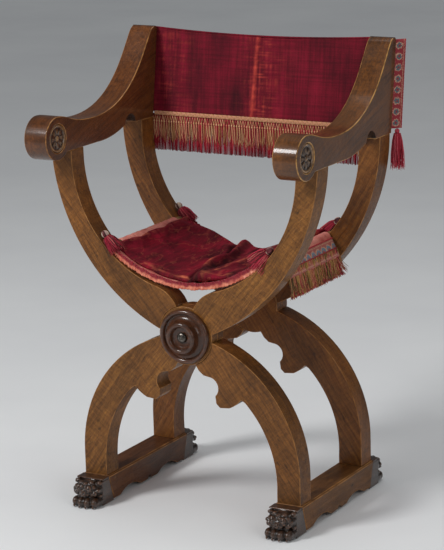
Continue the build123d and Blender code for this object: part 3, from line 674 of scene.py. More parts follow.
def yarn(name, stops, sheen="#ffd0a0", fade=0.3):
    """Silk thread with a twist of 0.8 mm, its colour by the tone of each strand."""
    material, tree, place = blank(name)
    tone = add(tree, "Attribute", out="Fac", attribute_name="tone")
    colour = add(tree, "ValToRGB", {0: tone}, stops)
    twist = speckle(tree, place, (500, 500, 1300), [(0.3, 0.72), (0.6, 1.0)], 2)
    colour = mixed(tree, 1.0, colour, twist, "MULTIPLY")
    faded = speckle(tree, place, (35, 35, 35), [(0.5, 0.0), (0.8, fade)], 3)
    colour = mixed(tree, faded, colour, linear("#9a7a5a"))
    lustre = {"Sheen_Weight": 0.1, "Sheen_Roughness": 0.5, "Sheen_Tint": linear(sheen)}
    finished(tree, colour, 0.6, twist, 0.1 * MM, Specular_IOR_Level=0.3, **lustre)
    return material


def ribbon(name, ground, medallion, line, edge_at):
    """Woven galloon: a row of ringed medallions on a plain ground between two lines."""
    # Its weave is 0.5 mm across the ribbon and 1.1 mm along it, and it is worn uneven.
    material, tree, _ = blank(name)
    own = {"attribute_name": "UVMap", "attribute_type": "GEOMETRY"}
    uv = add(tree, "Attribute", out="Vector", **own)
    drawn = add(tree, "Mapping", {"Vector": uv, "Scale": (0.35, 0.35, 1)})
    drawn = add(tree, "TexNoise", {"Vector": drawn, "Scale": 1.0, "Detail": 3.0}, out="Color")
    drift = {0: drawn, 1: (11.0, 11.0, 0.0), 2: uv}
    uneven = add(tree, "VectorMath", drift, operation="MULTIPLY_ADD")
    uneven = add(tree, "VectorMath", {0: uneven, 1: (5.5, 5.5, 0.0)}, operation="SUBTRACT")
    across, along = (add(tree, "SeparateXYZ", {0: uneven}, out=axis) for axis in "XY")
    for step, value in (("DIVIDE", REPEAT), ("FRACT", 0), ("SUBTRACT", 0.5), ("MULTIPLY", REPEAT)):
        along = add(tree, "Math", {0: along, 1: value}, operation=step)
    spot = add(tree, "CombineXYZ", {0: across, 1: along})
    reach = add(tree, "VectorMath", {0: spot}, out="Value", operation="LENGTH")
    reach = add(tree, "Math", {0: reach, 1: 0.85 * edge_at}, operation="DIVIDE")
    ringed = [(0.0, ground), (0.2, ground), (0.24, medallion), (0.5, medallion)]
    ringed += [(0.54, line), (0.66, line), (0.7, ground)]
    colour = add(tree, "ValToRGB", {0: reach}, ringed)
    side = add(tree, "Math", {0: across}, operation="ABSOLUTE")
    side = add(tree, "Math", {0: side, 1: edge_at}, operation="DIVIDE")
    lined = [(0.0, 0.0), (0.7, 0.0), (0.74, 0.8), (0.84, 0.8), (0.88, 0.0)]
    edge = add(tree, "ValToRGB", {0: side}, lined)
    colour = mixed(tree, edge, colour, linear(line))
    threads = add(tree, "Mapping", {"Vector": uv, "Scale": (2.2, 0.9, 1)})
    weave = add(tree, "TexNoise", {"Vector": threads, "Scale": 1.0, "Detail": 2.0})
    weave = add(tree, "ValToRGB", {0: weave}, [(0.3, 0.6), (0.7, 1.0)])
    colour = mixed(tree, 1.0, colour, weave, "MULTIPLY")
    finished(tree, colour, 0.75, weave, 0.2 * MM, Sheen_Weight=0.2)
    return material


GALLOON = ribbon("woven seat galloon", "#b4564a", "#6a8494", "#d89c7c", SEAT_GALLOON_HALF)
BACK_GALLOON = ribbon("woven back galloon", "#a02430", "#586870", "#d8a084", BACK_GALLOON_HALF)
gold = [(0.0, "#a87448"), (0.25, "#cf9a66"), (0.5, "#e0b084")]
salmon = [(0.72, "#d8866c"), (0.86, "#b83440"), (1.0, "#8a1626")]
GOLD_YARN = yarn("gold and salmon thread", gold + salmon)
olive = [(0.0, "#4c4024"), (0.22, "#96743c"), (0.45, "#cf9c56")]
pinks = [(0.62, "#dc9070"), (0.78, "#c03444"), (1.0, "#84142a")]
MIXED_YARN = yarn("gold, olive and crimson thread", olive + pinks)
crimson = [(0.0, "#6a0c1a"), (0.5, "#9c1428"), (1.0, "#c02c3c")]
CRIMSON_YARN = yarn("crimson thread", crimson, "#ff6070", fade=0.0)


def strand(form, points, radius, tone, sides=4):
    """Adds one thread along points in metres; its radius in mm, or one for each point."""
    tones = form.verts.layers.float.get("tone") or form.verts.layers.float.new("tone")
    radii = radius if isinstance(radius, (list, tuple)) else [radius] * len(points)
    rings = []
    for number, point in enumerate(points):
        ahead = points[min(number + 1, len(points) - 1)] - points[max(number - 1, 0)]
        across = ahead.cross(Vector((0.31, 0.88, 0.36))).normalized()
        over = ahead.cross(across).normalized()
        ring = []
        for turn in range(sides):
            angle = turn * tau / sides
            spot = point + (across * cos(angle) + over * sin(angle)) * radii[number] * MM
            vert = form.verts.new(spot)
            vert[tones] = tone
            ring.append(vert)
        rings.append(ring)
    for low, high in zip(rings, rings[1:]):
        for turn in range(sides):
            ahead = (turn + 1) % sides
            form.faces.new((low[turn], low[ahead], high[ahead], high[turn]))
    form.faces.new(list(reversed(rings[0])))
    form.faces.new(rings[-1])


def chance(number, salt=0):
    """Steady value from 0 to 1 for a numbered strand."""
    return (sin(number * 12.9898 + salt * 78.233) * 43758.5453) % 1.0


def bell(off, width):
    """Smooth bump of height 1, so far off its middle."""
    return exp(-((off / width) ** 2))


def strip(path, half_width, across, out):
    """Flat ribbed ribbon along points in metres, with its own coordinates in mm."""
    form = bmesh.new()
    uv = form.loops.layers.uv.new("UVMap")
    columns = 8
    places = [half_width * (2 * c / columns - 1) for c in range(columns + 1)]
    lines, lengths, run = [], [], 0.0
    for number, point in enumerate(path):
        run += (point - path[max(number - 1, 0)]).length / MM
        lengths.append(run)
        line = []
        for c, place in enumerate(places):
            line.append(form.verts.new(point + (across * place + out * 0.4 * (c % 2)) * MM))
        lines.append(line)
    for number in range(len(path) - 1):
        for c in range(columns):
            corners = ((number, c), (number, c + 1), (number + 1, c + 1), (number + 1, c))
            face = form.faces.new([lines[i][j] for i, j in corners])
            for loop, (i, j) in zip(face.loops, corners):
                loop[uv].uv = (places[j], lengths[i])
    return form


flap_out = Vector((cos(radians(FLAP_ANGLE)), 0, sin(radians(FLAP_ANGLE))))
flap_down = Vector((sin(radians(FLAP_ANGLE)), 0, -cos(radians(FLAP_ANGLE))))


def on_flap(side, y, down, out):
    """Point on a flap, so far from its top and off its face, in mm."""
    top = Vector((ROD_X, 0, ROD_Z)) + flap_out * (SLEEVE + out) + flap_down * down
    return at(side * top.x, y, top.z)


SEAT_STRANDS, LINING_STRANDS = 330, 110
seat_trim = []
for label, side, body in SIDES:
    path = []
    for step in range(55):
        y = -FLAP_HALF + 2 * FLAP_HALF * step / 54
        path.append(on_flap(side, y, 25.0, 2.2 + 0.6 * sin(step * 0.9)))
    across = Vector((side * flap_down.x, 0, flap_down.z))
    out = Vector((side * flap_out.x, 0, flap_out.z))
    band = strip(path, SEAT_GALLOON_HALF, across, out)
    band = piece(f"galloon_seat_{label}", band, GALLOON, body, [f"seat_galloon_{label}"])
    thickened(band, 0.9)
    cords = bmesh.new()
    for down in (6.0, 27.5):
        points = [on_flap(side, -108.5 + 217 * step / 90, down, 2.9) for step in range(91)]
        strand(cords, points, [1.5 + 0.3 * sin(step * 2.2) for step in range(91)], 0.9, 6)
    piping = piece(f"piping_seat_{label}", cords, GOLD_YARN, body)
    form = bmesh.new()
    for number in range(SEAT_STRANDS):
        y = -FLAP_HALF + 2 * FLAP_HALF * (number + 0.5) / SEAT_STRANDS
        start = on_flap(side, y, 28.5, 3.0 + 2.4 * chance(number, 1))
        splay = 0.5 * bell(y - FLAP_HALF, 16) - 0.12 * bell(y + FLAP_HALF, 12)
        drop = 42 + 17 * chance(number, 2)
        points = []
        for step in range(8):
            share = step / 7
            sway = 5.0 * share * waver(number * 0.31, share * 3.4, 2.0 * side)
            slide = drop * splay * share * share
            slide += 7.0 * share * waver(number * 0.43, share * 3.0, 5.0 + side)
            points.append(start + Vector((side * (11 * share + sway), slide, -drop * share)) * MM)
        tone = 0.85 * chance(number, 3) + 0.3 * waver(y * 0.05, 4.0, side) - 0.06
        tone += 0.3 * bell(y - FLAP_HALF, 36)
        strand(form, points, [0.6, 0.65, 0.65, 0.65, 0.6, 0.6, 0.55, 0.35], clamp(tone))
    stands_for = [f"seat_fringe_{label}"]
    fringe = piece(f"fringe_seat_{label}", form, MIXED_YARN, body, stands_for)
    lining = bmesh.new()
    for number in range(LINING_STRANDS):
        y = -107 + 214 * (number + 0.5) / LINING_STRANDS
        start = on_flap(side, y, 45.0, -0.2)
        drop = 39 + 3 * chance(number, 4)
        splay = 0.35 * bell(y - FLAP_HALF, 16)
        points = [
            start + Vector((side * 4.5 * share, drop * splay * share * share, -drop * share)) * MM
            for share in (0, 0.33, 0.66, 1)
        ]
        strand(lining, points, 0.9, chance(number, 5))
    under = piece(f"fringe_seat_{label}_lining", lining, CRIMSON_YARN, body)
    seat_trim += [band, piping, fringe, under]


FRILL_SPREAD = 39.2  # degrees of arc, each side of the middle


def frill_form(side):
    """Gathered strip round the front or the rear edge of the hanging cloth."""
    form = bmesh.new()
    shade = form.verts.layers.float.new("shade")
    columns, rows, fold_columns = 410, 8, 9.5
    lines = []
    for column in range(columns + 1):
        angle = radians(FRILL_SPREAD * (2 * column / columns - 1))
        base = Vector((sin(angle), 0, -cos(angle)))
        line = []
        for row in range(rows + 1):
            share = 2 * row / rows - 1
            phase = column * tau / fold_columns + 5.0 * waver(column * 0.06, share * 0.5, 4.0)
            loose = 0.5 + 0.8 * abs(waver(column * 0.03, 2.0, 9.0))
            fold = 2.6 * loose * abs(share) ** 0.7 * sin(phase)
            rise = 7.2 * share - 3.2 + 1.8 * waver(column * 0.06, 7.0, share)
            reach = SLING_RADIUS - rise
            y = side * (151.6 + 1.6 * abs(share) + fold)
            lean = 1.3 * abs(share) * cos(phase)
            spot = base * reach
            vert = form.verts.new(at(spot.x + lean, y, SLING_Z + spot.z))
            blush = 1.8 * share + 0.75 + 0.9 * waver(column * 0.1, share, 1.0)
            vert[shade] = clamp(blush)
            line.append(vert)
        lines.append(line)
    woven(form, lines)
    return form


FRILL = satin("salmon frill", "#f49a7a", "#c8503c", "#ffd0c0")
for label, side in ENDS:
    frill = thickened(piece(f"frill_{label}", frill_form(side), FRILL), 0.5)
    crossing(frill, SEAT_REACH)

# ---------------------------------------------------------------- seat cushion
# A thin pad in crimson silk velvet, filled with tow that has shifted: flat on the left, bunched
# on the right, with a deep crease where it gives between the sitter's thighs.

CUSHION_HALF, CUSHION_DEPTH = 179.0, 145.0
SETTLING = 16  # frames of the cloth simulation


def velvet(name, light, middle, dark, wear_and_highlight_colour, crushed=0.0):
    """Old silk velvet: crushed pile, faded bands, threads showing where rubbed, lighter marked places for
    wear and painted highlight, painted shade.
    """
    # Bands are 4 mm wide and lines 3 mm apart. Pile and threads are drawn at 1.5 and 1.1 mm,
    # coarser than the real ones, so that they show.
    material, tree, place = blank(name)
    colour = speckle(tree, place, (30, 9, 9), [(0.25, dark), (0.5, middle), (0.78, light)], 6)
    bands = speckle(tree, place, (240, 6, 6), [(0.35, 0.72), (0.62, 1.0)], 3)
    lines = speckle(tree, place, (8, 8, 330), [(0.35, 0.72), (0.6, 1.0)], 3)
    pile = speckle(tree, place, (650, 650, 650), [(0.3, 0.75), (0.7, 1.0)], 3)
    threads = speckle(tree, place, (180, 180, 900), [(0.66, 0.0), (0.84, 0.22)], 2)
    for tone in (lines, bands, pile):
        colour = mixed(tree, 1.0, colour, tone, "MULTIPLY")
    colour = mixed(tree, threads, colour, linear(wear_and_highlight_colour))
    broken = speckle(tree, place, (70, 70, 70), [(0.3, 0.25), (0.62, 1.0)], 5)
    # Marked places and crushed lines go lighter: partly wear, partly painted highlight.
    wear_and_highlight = add(tree, "Attribute", out="Fac", attribute_name="wear_and_highlight")
    creased = speckle(tree, place, (34, 12, 34), [(0.48, 0.0), (0.5, crushed), (0.52, 0.0)], 3)
    wear_and_highlight = add(tree, "Math", {0: wear_and_highlight, 1: creased}, operation="MAXIMUM")
    wear_and_highlight = add(tree, "Math", {0: wear_and_highlight, 1: broken}, operation="MULTIPLY")
    colour = mixed(tree, wear_and_highlight, colour, linear(wear_and_highlight_colour))
    # Painted shade: darker where the shade attribute is set, as in the cushion's creases.
    shade = add(tree, "Attribute", out="Fac", attribute_name="shade")
    colour = mixed(tree, shade, colour, linear("#1a0206"))
    lustre = {"Sheen_Weight": 0.13, "Sheen_Roughness": 0.35, "Sheen_Tint": linear("#e83c50")}
    finished(tree, colour, 0.8, pile, 0.3 * MM, Specular_IOR_Level=0.2, **lustre)
    return material


tones = ("#b41432", "#800a24", "#38030e", "#e07a54")
SEAT_VELVET = velvet("crimson seat velvet", *tones, crushed=0.22)


def crease_x(y):
    """Where the cushion gives, from its front to its back edge."""
    return 2 - 42 * (y + CUSHION_DEPTH) / (2 * CUSHION_DEPTH) + 4 * sin(y * 0.04)


def pad_height(x, y):
    """Height of the pad's upper face above the cloth in mm."""
    off = x - crease_x(y)
    flat = 14 + 2.5 * waver(x * 0.02, y * 0.02, 1.0)
    bunched = 19 + 2.5 * waver(x * 0.025, y * 0.03, 2.0)
    bunched += 14 * bell(off - 19, 13) + 7 * bell(off - 72 - 0.25 * y, 20)  # two folds
    bunched -= 7 * bell(off - 44 - 0.2 * y, 7) + 5 * bell(off - 112 - 0.1 * y, 9)  # and two furrows
    share = 1 / (1 + exp(-(off - 5) / 3.2))
    return flat * (1 - share) + bunched * share - 7.5 * bell(off + 1, 6)


def cushion_form():
    """Closed skin of the pad, laid on the sling, with pulled-in sides and pointed corners."""
    form = bmesh.new()
    columns, rows = 84, 76
    faces = ([], [])
    for side, lines in zip((1, -1), faces):
        for column in range(columns + 1):
            u = 2 * column / columns - 1
            line = []
            for row in range(rows + 1):
                v = 2 * row / rows - 1
                border = abs(u) == 1 or abs(v) == 1
                if side < 0 and border:
                    line.append(faces[0][column][row])
                    continue
                x = CUSHION_HALF * u * (1 - 0.015 * (1 - v * v))
                y = CUSHION_DEPTH * v * (1 - 0.02 * (1 - u * u))
                edge = (max(0, 1 - abs(u) ** 9) * max(0, 1 - abs(v) ** 14)) ** 0.42
                top = pad_height(x, y)
                curled = 5.5 / (1 + exp(-(x - 8) / 6)) * bell(y + CUSHION_DEPTH, 22)
                seam = 6.0 + curled
                if side > 0:
                    rise = seam + (top - seam) * edge
                else:
                    rise = seam - (seam - 0.9 - 0.8 * curled) * edge
                angle = x / (SLING_RADIUS - 8)
                reach = SLING_RADIUS - rise
                line.append(form.verts.new(at(reach * sin(angle), y, SLING_Z - reach * cos(angle))))
            lines.append(line)
    woven(form, faces[0])
    woven(form, faces[1], turned_over=True)
    bmesh.ops.recalc_face_normals(form, faces=form.faces)
    return form


def settle(form):
    """Lets the slack skin of the pad puff out and wrinkle in a short cloth simulation."""
    made = formed("pad", form)
    grip = made.vertex_groups.new(name="grip")
    for vert in made.data.vertices:
        x, _, z = vert.co / MM
        above = SLING_RADIUS - hypot(x, z - SLING_Z)
        grip.add([vert.index], 1.0 if above < 4 else 0.0, "REPLACE")
    cloth = made.modifiers.new("cloth", "CLOTH")
    nature = cloth.settings
    nature.quality, nature.mass = 6, 0.25
    nature.tension_stiffness = nature.compression_stiffness = 12
    nature.shear_stiffness, nature.bending_stiffness = 5, 0.05
    nature.shrink_min = -0.05
    nature.use_pressure, nature.uniform_pressure_force = True, 2.0
    nature.vertex_group_mass = "grip"
    nature.effector_weights.gravity = 0
    cloth.point_cache.frame_start, cloth.point_cache.frame_end = 1, SETTLING
    for number in range(1, SETTLING + 1):
        bpy.context.scene.frame_set(number)
    rested = bmesh.new()
    rested.from_mesh(skin_of(made))
    bpy.context.scene.frame_set(1)
    return rested


def cushion_skin():
    """The settled pad, kept above the sling; ridges marked lighter for wear and painted highlight, creases
    for painted shade.
    """
    form = cushion_form()
    form = settle(form)
    for name in ("wear_and_highlight", "shade"):
        form.verts.layers.float.new(name)
    wear_and_highlight, shade = (form.verts.layers.float[name] for name in ("wear_and_highlight", "shade"))
    for vert in form.verts:
        x, y, z = vert.co.x / MM, vert.co.y / MM - PIVOT_Y, vert.co.z / MM
        reach = hypot(x, z - SLING_Z)
        lowest = SLING_RADIUS - 1.4
        if reach > lowest:
            vert.co.x = x * lowest / reach * MM
            vert.co.z = (SLING_Z + (z - SLING_Z) * lowest / reach) * MM
        off = x - crease_x(y)
        # Ridges, front and side edges and bright streaks go lighter: wear and painted highlight.
        ridge = 1.3 * bell(off - 14, 2.6) + bell(off - 66 - 0.25 * y, 2.6)
        ridge += 1.0 * bell(y + 136, 3.4) + 0.6 * bell(abs(x) - 160, 4)
        wear_and_highlight_breakup = 0.5 + 1.2 * waver(x * 0.03, y * 0.03, 5.0)
        streak = waver(0.16 * off + 0.03 * y, 0.02 * y, 3.0)
        ridge = max(0, ridge * wear_and_highlight_breakup) + 0.8 * max(0, streak - 0.25) * (1.4 if off > 0 else 0.6)
        vert[wear_and_highlight] = min(1, ridge) * (0.85 if reach < SLING_RADIUS - 8 else 0)
        # Painted shade in the crease, the furrows and the dark streaks.
        dark = 1.2 * bell(off - 1, 6) + 0.9 * bell(off - 44 - 0.2 * y, 8)
        dark += 0.7 * bell(off - 112 - 0.1 * y, 10) + 0.9 * max(0, -streak - 0.15)
        dark += 0.35 * bell(off - 30, 5)
        vert[shade] = min(0.88, dark)
    return form


cushion = piece("cushion", cushion_skin(), SEAT_VELVET, None, ["seat_cushion"])
crossing(cushion, SEAT_REACH)

# ---------------------------------------------------------------- cushion tassels
# A silk tassel is sewn to each corner of the pad: a ball head bound in plum and cream cord over
# a skirt of crimson threads. The one at the front right is frayed wide.

cord = [(0.0, "#3c181c"), (0.4, "#7a3038"), (0.65, "#b89a90"), (1.0, "#e6d8bc")]
TASSEL_HEAD = yarn("plum and cream cord", cord, "#ffd0d0")
tuft = [(0.0, "#40050f"), (0.5, "#a0142f"), (0.82, "#cc3450"), (1.0, "#ec9080")]
TUFT_YARN = yarn("crimson tassel thread", tuft, "#ffb0b0", fade=0.1)
TASSEL_LEAN = radians(41.5)
GOLDEN_TURN = 2.39996  # spreads the threads evenly over the skirt
noise.seed_set(1)  # noise_vector starts from the clock otherwise, and the threads stray anew


def tassel(top, down, length, radius, salt, strands, size):
    """Head and skirt of a tassel, as two forms; sizes in mm, from its top along a direction."""
    side = down.cross(Vector((0.2, 1, 0.1))).normalized()
    over = down.cross(side).normalized()

    def spot(drop, reach, angle):
        return top + (down * drop + (side * cos(angle) + over * sin(angle)) * reach) * MM

    head = bmesh.new()
    for turn in range(16):
        angle = turn * tau / 16
        points = []
        for step in range(9):
            lean = pi * (0.06 + 0.88 * step / 8)
            drop = size * (1 - cos(lean)) * 1.05
            points.append(spot(drop, size * sin(lean), angle + 0.7 * step / 8))
        strand(head, points, 0.22 * size, 0.9 * chance(turn, salt), 5)
    neck = 2.1 * size
    binding = [spot(neck, 0.6 * size, t * tau / 24) for t in range(25)]
    strand(head, binding, 0.22 * size, 0.8, 6)
    skirt = bmesh.new()
    for number in range(strands):
        angle = number * GOLDEN_TURN
        spread = sqrt((number + 0.5) / strands)
        fall = (length - neck) * (0.94 + 0.12 * chance(number, salt + 1))
        points = []
        for step in range(6):
            share = step / 5
            reach = radius * spread * (0.42 + 0.62 * share**0.6 - 0.1 * share)
            turn = angle + 0.25 * share * (chance(number, salt + 2) - 0.5)
            stray = noise.noise_vector(Vector((number * 0.37, share * 2.2, salt)))
            points.append(spot(neck + fall * share, reach, turn) + stray * 4.0 * share * MM)
        strand(skirt, points, [0.65, 0.7, 0.65, 0.6, 0.55, 0.35], chance(number, salt + 3))
    return head, skirt


for label, side, body in SIDES:
    for place, end in ENDS:
        down = Vector((-side * sin(TASSEL_LEAN), 0, -cos(TASSEL_LEAN)))
        top = at(side * 192.0, end * 146.0, 569.6)
        wide = 28.0 if end < 0 and side > 0 else 20.0
        head, skirt = tassel(top, down, 50.0, wide, 7 * end + side, 190, 6.4)
        piece(f"tassel_head_{label}_{place}", head, TASSEL_HEAD, body)
        stands_for = [f"cushion_tassels_{label}"] if end < 0 else []
        piece(f"tassel_{label}_{place}", skirt, TUFT_YARN, body, stands_for)

# ---------------------------------------------------------------- back panel
# One piece of crimson silk velvet, pieced at a seam near its middle, stretched behind the two
# posts and nailed there. Its top edge is hemmed over a cord and sags a little.

POST_LEAN = 0.13736
BACK_HALF, POST_INNER = 300.0, 252  # half the cloth, and where it meets the posts
VELVET_LOW = 761.0
BACK_REACH = 250  # the back bends between the halves over this much each side


def back_y(z):
    """How far behind the folding axis the front of the back cloth is, at a height."""
    return HALF_DEPTH + POST_LEAN * (z - 750.0) + 0.3


def back_top(x):
    """Height of the sagging top edge."""
    return 928.4 + 8.0 * (min(abs(x), POST_INNER) / 245) ** 2


def seam_x(z):
    """Where the seam runs."""
    return -10 - 7 * (929 - z) / 167


def back_form():
    """Stretched velvet with slack waves between the posts, its seam and its rubbed places."""
    form = bmesh.new()
    wear_and_highlight = form.verts.layers.float.new("wear_and_highlight")
    columns, rows = 240, 60
    lines = []
    for column in range(columns + 1):
        x = BACK_HALF * (2 * column / columns - 1)
        line = []
        for row in range(rows + 1):
            share = row / rows
            z = VELVET_LOW + (back_top(x) - VELVET_LOW) * share
            slack = max(0, 1 - (abs(x) / POST_INNER) ** 4)
            wave = 2.2 * waver(x * 0.012 + z * 0.006, z * 0.010, 1.5)
            wave += 0.9 * waver(x * 0.05, z * 0.012, 7.5)
            off = x - seam_x(z)
            pull = -1.3 * bell(off, 3.2) + 0.8 * bell(off - 9, 5)
            y = back_y(z) + 2.0 + slack * (wave + pull + 1.2)
            vert = form.verts.new(at(x, y, z))
            bright = 0.55 + 0.45 * bell(z - 800, 45)
            mark = bright * bell(off, 3.4)
            scratch = max(0, waver(x * 0.03, z * 0.35, 6.0) - 0.1)
            mark += 1.6 * scratch * bell(off - 10, 16) * (1 if off > 0 else 0.4)
            mark += 0.25 * bell(z - back_top(x), 3)
            thin = max(0, waver(x * 0.25, z * 0.02, 2.0) + waver(x * 0.02, z * 0.3, 4.0))
            mark += thin * (0.5 * bell(x - 5, 45) + 0.35 * bell(x + 215, 50))
            vert[wear_and_highlight] = min(1, mark)
            line.append(vert)
        lines.append(line)
    woven(form, lines)
    return form


BACK_VELVET = velvet("crimson back velvet", "#981230", "#760a22", "#4e0618", "#cc4a3c")
back = piece("back_velvet", back_form(), BACK_VELVET, None, ["back_panel"])
crossing(thickened(back, 1.5), BACK_REACH)

form = bmesh.new()
path = [at(x, back_y(back_top(x)) + 2.0, back_top(x) - 1.0) for x in range(-300, 301, 6)]
strand(form, path, 2.0, 0.5, 8)
form.verts.layers.float.new("wear_and_highlight")
hem = crossing(piece("back_hem", form, BACK_VELVET), BACK_REACH)

# ---------------------------------------------------------------- back trimmings
# Under the velvet runs a braid of tan and salmon silk, then a knotted net and a long fringe of
# gold and salmon thread over a crimson one. Galloon and a tassel finish each end.


def braid(form, ends, z, height):
    """Adds three interlaced cords along X."""
    count = int((ends[1] - ends[0]) / 1.5)
    for cord in range(3):
        points = []
        for step in range(count + 1):
            x = ends[0] + (ends[1] - ends[0]) * step / count
            phase = x * tau / 11 + cord * tau / 3
            y = back_y(z) + 0.6 + 0.8 * sin(2 * phase)
            points.append(at(x, y, z + height * 0.34 * sin(phase)))
        strand(form, points, 1.55, (0.15, 0.55, 0.95)[cord], 5)


back_trim = [hem]
form = bmesh.new()
braid(form, (-249, 249), 758.5, 10)
BRAID_YARN = yarn("tan and salmon braid", [(0.0, "#bb8258"), (0.5, "#d8a074"), (1.0, "#dc9a80")])
back_trim.append(crossing(piece("back_braid", form, BRAID_YARN), BACK_REACH))

form = bmesh.new()
NET_TOP, NET_LOW = 754.0, 741.0
FRINGE_WIDTH = 580
KNOTS, BACK_STRANDS = 96, 560
step = FRINGE_WIDTH / KNOTS
depth = back_y(750) + 2.0
for number in range(KNOTS):
    x = -FRINGE_WIDTH / 2 + FRINGE_WIDTH * (number + 0.5) / KNOTS
    for lean in (-0.5, 0.5):
        points = []
        for share in (0, 0.35, 0.7, 1):
            z = NET_TOP + (NET_LOW - NET_TOP) * share
            points.append(at(x + lean * step * (1 - share), depth + 0.5 * lean, z))
        strand(form, points, 0.85, chance(number, 11 + lean))
    knot = [at(x, depth, NET_LOW + 2.6 - 1.6 * s) for s in range(4)]
    strand(form, knot, [0.9, 1.9, 1.9, 0.9], 0.3 + 0.5 * chance(number, 12), 6)
    for thread in range(3):
        salt = number * 4 + thread
        fall = 32 + 12 * chance(salt, 13)
        start = (thread - 1) * 0.6
        end = (thread - 1) * 2.0 + 2.6 * (chance(salt, 14) - 0.5)
        points = []
        for s in range(7):
            share = s / 6
            sway = 1.6 * waver(x * 0.03, share * 1.2, 3.0)
            wander = 4.5 * share * waver(salt * 0.47, share * 2.2, 8.0)
            along = x + start + (end - start) * share**0.7 + wander
            y = depth + sway * share + 0.8 * (thread % 2)
            points.append(at(along, y, NET_LOW - 1 - fall * share))
        strand(form, points, [0.7, 0.75, 0.75, 0.75, 0.7, 0.65, 0.45], chance(salt, 15) * 0.9)
net = piece("back_net_fringe", form, GOLD_YARN, None, ["back_fringe"])
back_trim.append(crossing(net, BACK_REACH))

form = bmesh.new()
for number in range(BACK_STRANDS):
    x = -FRINGE_WIDTH / 2 + FRINGE_WIDTH * (number + 0.5) / BACK_STRANDS
    fall = 75.5 + 3 * chance(number, 21)
    layer = back_y(750) + 3.6 + 1.4 * (number % 2)
    points = []
    for s in range(5):
        share = s / 4
        drift = 3.0 * share * waver(x * 0.15, share, 5.0)
        points.append(at(x + drift, layer + share * 0.8 * sin(x * 0.11), 757 - fall * share))
    strand(form, points, [1.1, 1.15, 1.15, 1.1, 0.9], chance(number, 22))
back_trim.append(crossing(piece("back_crimson_fringe", form, CRIMSON_YARN), BACK_REACH))

bright = [(0.0, "#8a1226"), (0.5, "#c02c40"), (1.0, "#ec6c78")]
BRIGHT_YARN = yarn("bright crimson thread", bright, "#ff8088", fade=0.0)
FLAP_REACH = 14.14  # of the end flap, along both X and Y
GALLOON_LOW = 759
for label, side, body in SIDES:
    path = []
    for step in range(31):
        z = GALLOON_LOW + 176 * step / 30
        path.append(at(side * (BACK_HALF + FLAP_REACH / 2), back_y(z) + FLAP_REACH / 2 + 1.2, z))
    across = Vector((side, 1, 0)).normalized()
    out = Vector((side, -1, 0)).normalized()
    band = strip(path, BACK_GALLOON_HALF, across, out)
    stands_for = [f"back_galloon_{label}"]
    band = piece(f"galloon_back_{label}", band, BACK_GALLOON, body, stands_for)
    thickened(band, 0.9)
    cords = bmesh.new()
    for share in (-0.12, 1.12):
        reach = FLAP_REACH * share
        heights = range(GALLOON_LOW, GALLOON_LOW + 178, 2)
        points = [at(side * (BACK_HALF + reach), back_y(z) + reach + 1.0, z) for z in heights]
        strand(cords, points, [1.3 + 0.25 * sin(s * 2.2) for s in range(89)], 0.9, 6)
    piping = piece(f"piping_back_{label}", cords, GOLD_YARN, body)
    top = at(side * 309.6, 172.0, 757.5)
    head, skirt = tassel(top, Vector((0, 0, -1)), 78.0, 16.0, 31 + side, 150, 4.2)
    piece(f"tassel_head_back_{label}", head, BRIGHT_YARN, body)
    piece(f"tassel_back_{label}", skirt, BRIGHT_YARN, body, [f"back_tassel_{label}"])
    back_trim += [band, piping]
nails = ["back_nails_left", "back_nails_right"]

# ---------------------------------------------------------------- nails of the back
# Five brass-headed nails hold each end of the velvet to the back of its post. The brass has
# gone brown, and their shanks are out of sight in the wood.

BRASS = old_metal("tarnished brass", [(0.3, "#4a3418"), (0.55, "#7a5a28"), (0.75, "#a8843c")])
for name in nails:
    stained(name, BRASS)
    soften = frame["nodes"][name].modifiers.new("domed heads", "BEVEL")
    soften.width, soften.segments, soften.limit_method = 1.6 * MM, 3, "ANGLE"

# ---------------------------------------------------------------- floor, light and camera
# A wide pale floor under a pale sky, a large soft lamp at the front left, and weak ones at the
# right and above. These are the studio, not the chair.

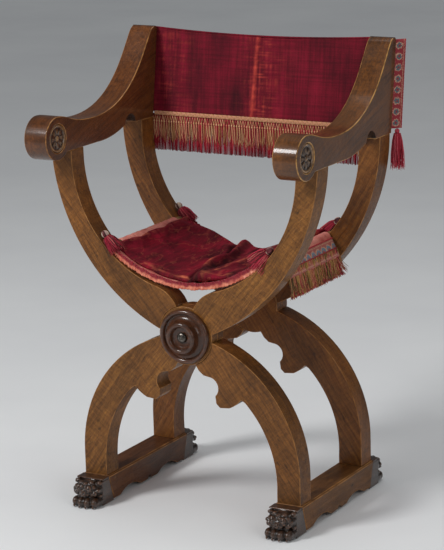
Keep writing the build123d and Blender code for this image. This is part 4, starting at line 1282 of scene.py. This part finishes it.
form = bmesh.new()
bmesh.ops.create_grid(form, x_segments=1, y_segments=1, size=60)
material, tree, place = blank("studio floor")
floor_tone = speckle(tree, place, (1.5, 1.5, 1.5), [(0.3, "#e6e7e8"), (0.7, "#eeefef")], 3)
finished(tree, floor_tone, 0.8, floor_tone, 0.01 * MM)
floor = formed("floor", form)
floor.data.materials.append(material)

world = bpy.data.worlds.new("pale sky")
bpy.context.scene.world = world
world.use_nodes = True
tree = world.node_tree
tree.nodes.clear()
seen = add(tree, "LightPath", out="Is Camera Ray")
tint = mixed(tree, seen, linear("#eef1f4"), linear("#e4e6e8"))
mirrored = add(tree, "LightPath", out="Is Glossy Ray")
strength = add(tree, "Mix", {0: mirrored, 2: 0.33, 3: 0.1}, data_type="FLOAT")
strength = add(tree, "Mix", {0: seen, 2: strength, 3: 1.0}, data_type="FLOAT")
sky = add(tree, "Background", {"Color": tint, "Strength": strength})
add(tree, "OutputWorld", {"Surface": sky})

middle = at(0, 0, 480)
for name, spot, size, power in (
    ("key lamp", (-1.5, -2.5, 2.7), 0.9, 80.0),
    ("side lamp", (2.6, -1.4, 1.6), 1.6, 14.0),
    ("top lamp", (0.3, 0.8, 3.2), 2.2, 18.0),
):
    light = bpy.data.lights.new(name, "AREA")
    light.shape, light.size, light.energy = "SQUARE", size, power
    lamp = placed(name, light)
    lamp.location = spot
    lamp.rotation_euler = (middle - Vector(spot)).to_track_quat("-Z", "Y").to_euler()

azimuth, elevation, roll, distance = radians(29.76), radians(13.73), radians(-1.55), 4.6527
aim = at(-3.0, -1.7, PIVOT_Z + 88.7)
level = cos(elevation)
back_vector = Vector((sin(azimuth) * level, -cos(azimuth) * level, sin(elevation)))
right_vector = Vector((cos(azimuth), sin(azimuth), 0))
up_vector = back_vector.cross(right_vector)
right_rolled = right_vector * cos(roll) + up_vector * sin(roll)
up_rolled = up_vector * cos(roll) - right_vector * sin(roll)
lens = bpy.data.cameras.new("camera")
lens.sensor_fit, lens.sensor_width, lens.lens = "AUTO", 36.0, 150.07
camera = placed("camera", lens)
pose = Matrix((right_rolled, up_rolled, back_vector)).transposed().to_4x4()
pose.translation = aim + back_vector * distance
camera.matrix_world = pose
bpy.context.scene.camera = camera
bpy.context.scene.view_settings.view_transform = "Standard"
